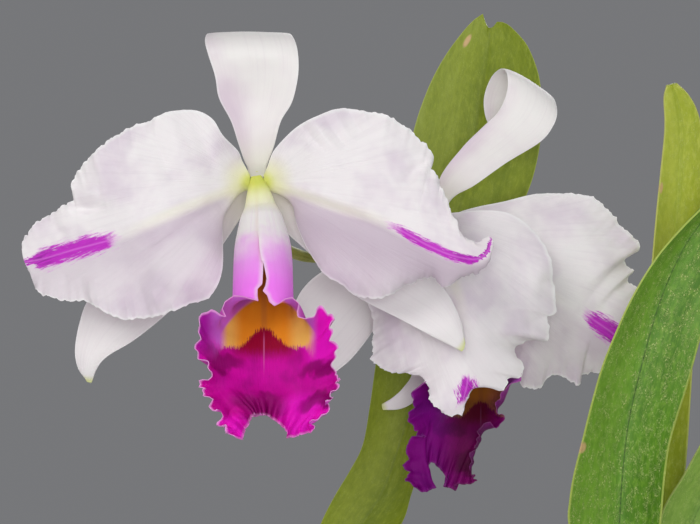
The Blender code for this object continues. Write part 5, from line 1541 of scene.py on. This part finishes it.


# Petals: outline, grid, phase of the part's waves, seed, teeth on a margin, folds, flame and strength of
# the painted shade below the midrib
PETALS = dict(
    bloom_a_left_petal=(LEFT_PETAL_A, PETAL_GRID, 0.4, 3, 40, [
        ([(246, 182), (200, 202), (150, 224), (112, 238)], 0.9, 7),
        ([(240, 190), (205, 215), (168, 244), (147, 264), (136, 290), (130, 312)], -1.7, 10),
        ([(216, 234), (196, 262), (178, 292)], 1.2, 13), ([(150, 290), (158, 306)], 0.7, 5),
        ([(163, 284), (171, 302)], -0.7, 4), ([(178, 284), (190, 300)], 0.6, 5),
        ([(150, 128), (162, 158), (176, 188)], -0.9, 8), ([(170, 118), (182, 150), (194, 180)], 0.6, 7),
        ([(196, 116), (205, 148), (214, 174)], -0.8, 7), ([(122, 140), (146, 170), (160, 196)], 0.6, 8),
        ([(104, 152), (124, 180)], -0.7, 6), ([(100, 192), (84, 193), (74, 190)], 1.6, 6),
        ([(108, 206), (90, 209), (72, 206)], -1.8, 5), ([(52, 222), (66, 238)], -0.6, 5),
        ([(60, 290), (70, 276)], -0.6, 6), ([(88, 300), (94, 282)], 0.7, 6)],
        (52, 60, 84, 92, 3.9, 0.9), 0.55),
    bloom_a_right_petal=(RIGHT_PETAL_A, PETAL_GRID, 1.7, 11, 40, [
        ([(278, 184), (330, 198), (396, 224)], 1.0, 7), ([(280, 192), (330, 208), (396, 234)], -1.5, 9),
        ([(300, 122), (316, 142), (330, 154)], -0.6, 3.5), ([(310, 118), (326, 138), (340, 152)], 0.6, 3.5),
        ([(322, 114), (336, 134), (348, 148)], -0.6, 3.5), ([(335, 111), (345, 130), (356, 144)], 0.6, 3.5),
        ([(348, 109), (357, 126), (365, 138)], -0.5, 3.5), ([(362, 111), (369, 126)], 0.5, 3.5),
        ([(428, 160), (416, 170), (404, 184)], -1.6, 6), ([(424, 150), (408, 160), (394, 176)], 1.0, 8),
        ([(440, 184), (428, 200), (420, 222)], -0.8, 6), ([(450, 204), (440, 222)], 0.8, 6),
        ([(320, 262), (350, 282), (400, 284)], 1.0, 14)],
        (46, 54, 80, 94, 1.9, 0.3), 0.95),
    bloom_b_left_petal=(LEFT_PETAL_B, FAR_PETAL_GRID, 2.9, 19, 42, [
        ([(448, 240), (470, 300), (478, 370)], 1.0, 16),
        ([(400, 268), (418, 320), (430, 380)], -1.2, 12), ([(384, 300), (392, 340), (398, 366)], 0.7, 8),
        ([(520, 232), (512, 280), (502, 330)], -0.8, 12), ([(545, 262), (530, 300)], 0.8, 8),
        ([(545, 318), (524, 326)], -0.9, 6), ([(528, 343), (510, 352)], -0.8, 6)],
        (72, 75, 77, 82, 4.8, 1.2), 0.15),
    bloom_b_right_petal=(RIGHT_PETAL_B, FAR_PETAL_GRID, 0.9, 29, 42, [
        ([(470, 230), (540, 262), (610, 320)], -1.0, 14), ([(560, 215), (596, 250), (622, 300)], 0.9, 14),
        ([(626, 236), (610, 246)], -0.9, 5), ([(632, 262), (612, 266)], -1.2, 5),
        ([(634, 288), (616, 288)], -0.9, 5), ([(560, 372), (566, 348)], 0.8, 6),
        ([(584, 372), (586, 350)], -0.9, 6)],
        (60, 66, 76, 84, 4.2, -0.8), 0.3))


def dorsal_finish(name):
    return sepal_finish(name, tint(248, 244, 242), tint(228, 212, 224), tint(242, 236, 240), 0.9,
                        tint(222, 222, 200))


def lateral_finish(name):
    return sepal_finish(name, tint(244, 240, 240), tint(226, 219, 222), tint(214, 220, 140), 0.965,
                        tint(206, 200, 184))


# Sepals: outline, grid and finish
SEPALS = dict(
    bloom_a_left_sepal=(LEFT_SEPAL_A, SEPAL_GRID, lateral_finish),
    bloom_a_right_sepal=(RIGHT_SEPAL_A, SEPAL_GRID, lateral_finish),
    bloom_b_left_sepal=(LEFT_SEPAL_B, SEPAL_GRID, lateral_finish),
    bloom_b_right_sepal=(RIGHT_SEPAL_B, SEPAL_GRID, lateral_finish),
    bloom_a_dorsal_sepal=(DORSAL_SEPAL_A, CURLED_SEPAL_GRID, dorsal_finish),
    bloom_b_dorsal_sepal=(DORSAL_SEPAL_B, CURLED_SEPAL_GRID, dorsal_finish))

# Leaves: outline, slot, colours (base, deep, light, margin, midrib), seed, wear, midrib and scar
LEAVES = dict(
    back_leaf=(BACK_LEAF, "leaf_olive", ((132, 148, 30), (110, 128, 22), (152, 166, 50), (176, 188, 84),
                                         (104, 120, 28)), 3.0, 0.12, 0.5, (0.955, 0.12)),
    front_leaf=(FRONT_LEAF, "leaf_green", ((98, 148, 40), (72, 120, 26), (136, 178, 62), (190, 204, 100),
                                           (52, 84, 26)), 8.0, 1.0, 0.9, (0.372, 0.01)),
    pale_leaf=(PALE_LEAF, "leaf_pale", ((170, 182, 52), (148, 164, 36), (196, 204, 84), (214, 216, 120),
                                        (146, 160, 44)), 13.0, 0.35, 0.35, (0.80, 0.03)),
    low_leaf=(LOW_LEAF, "leaf_mid_green", ((126, 166, 62), (100, 142, 44), (160, 192, 92), (198, 212, 124),
                                           (88, 124, 40)), 21.0, 0.5, 0.7, (0.5, 0.97)))


def make_plant():
    bulb = stem_finish("pseudobulb_skin", (120, 136, 58), (92, 108, 42), (160, 168, 92), 0.45)
    papery = papery_finish("bract_husk", (190, 174, 138), (120, 96, 66), (222, 212, 184))
    sheath = papery_finish("sheath_husk", (168, 156, 98), (116, 96, 52), (206, 196, 140))
    stalk = stem_finish("stalk_skin", (158, 160, 72), (128, 134, 52), (188, 186, 104), 0.45)
    rhizome = stem_finish("rhizome_skin", (128, 118, 72), (86, 70, 44), (176, 168, 122), 0.75)
    make_pseudobulbs(bulb, papery)
    make_rhizome(rhizome)
    make_stalk(stalk)
    make_sheath(sheath)
    make_bark(bark_finish("bark_cork"))
    show("pot_clay_body", make_pot(), clay_finish("pot_terracotta"), "pot_clay", "pot")


def make_blooms():
    column = column_finish("column_wax")
    make_column("bloom_a_column", HUB_A, LIP_FLOOR_A, 1.0, column)
    make_column("bloom_b_column", HUB_B, LIP_FLOOR_B, LIP_SCALE_B, column)
    make_lip("bloom_a_lip", HUB_A, LIP_FLOOR_A, 1.0, LIP_EDGE_A, THROAT_A, 0.6, LIP_GRID,
             lip_finish("lip_a_velvet", 0.0))
    make_lip("bloom_b_lip", HUB_B, LIP_FLOOR_B, LIP_SCALE_B, LIP_EDGE_B, THROAT_B, 2.1, FAR_LIP_GRID,
             lip_finish("lip_b_velvet", 0.55))
    make_petals()
    make_sepals()


def add_area(name, place, width, power, colour=(1.0, 1.0, 1.0)):
    """Square light of the given width in metres and power in watts, turned towards the blooms."""
    light = bpy.data.lights.new(name, "AREA")
    light.shape = "SQUARE"
    light.size = width
    light.energy = power
    light.color = colour
    lamp = add(name, light)
    lamp.location = place
    lamp.rotation_euler = (Vector(LIGHT_AIM) - Vector(place)).to_track_quat("-Z", "Y").to_euler()


def make_floor():
    """Pale matt floor under the pot, as part of the stage."""
    g = Graph("floor_paint", 0.8)
    grain = g.noise(g.body(), 40.0, 4.0, 0.6)
    paint = g.finish(g.mix(grain, tint(206, 206, 204), tint(214, 214, 212)), None, grain, 0.0003)
    form = bmesh.new()
    bmesh.ops.create_circle(form, cap_ends=True, segments=128, radius=FLOOR_RADIUS)
    floor = add("floor", to_mesh(form, "floor"))
    floor.data.materials.append(paint)
    floor.location = (0, 0, -0.0005)


def make_surroundings():
    """Plain grey surroundings and four soft lights."""
    world = bpy.data.worlds.new("studio")
    world.use_nodes = True
    grey, strength = world.node_tree.nodes["Background"].inputs[:2]
    grey.default_value = (*tint(150, 151, 154), 1)
    strength.default_value = 0.6
    bpy.context.scene.world = world
    bpy.context.scene.view_settings.view_transform = "Standard"
    add_area("key_light", (-0.9, -1.5, 1.35), 0.9, 13, (1.0, 0.985, 0.965))
    add_area("fill_light", (1.3, -1.4, 0.6), 1.4, 5.5, (0.97, 0.985, 1.0))
    add_area("front_light", (0.05, -1.5, 0.42), 0.6, 6)
    add_area("back_light", (0.5, 1.4, 1.3), 1.2, 12)


def make_camera():
    """Camera that sees the blooms as the photograph does."""
    camera = bpy.data.cameras.new("photo_camera")
    camera.sensor_width = SENSOR_WIDTH
    camera.lens = SENSOR_WIDTH * VIEW_DISTANCE / (PHOTO_WIDTH * PIXEL_SIZE)
    holder = add("photo_camera", camera)
    holder.location = (PHOTO_CENTRE_X, NEAR_BLOOM_DEPTH - VIEW_DISTANCE, PHOTO_CENTRE_Z)
    holder.rotation_euler = (math.pi / 2, 0, 0)
    bpy.context.scene.camera = holder


make_floor()
make_surroundings()
make_camera()
make_plant()
make_leaves()
make_blooms()
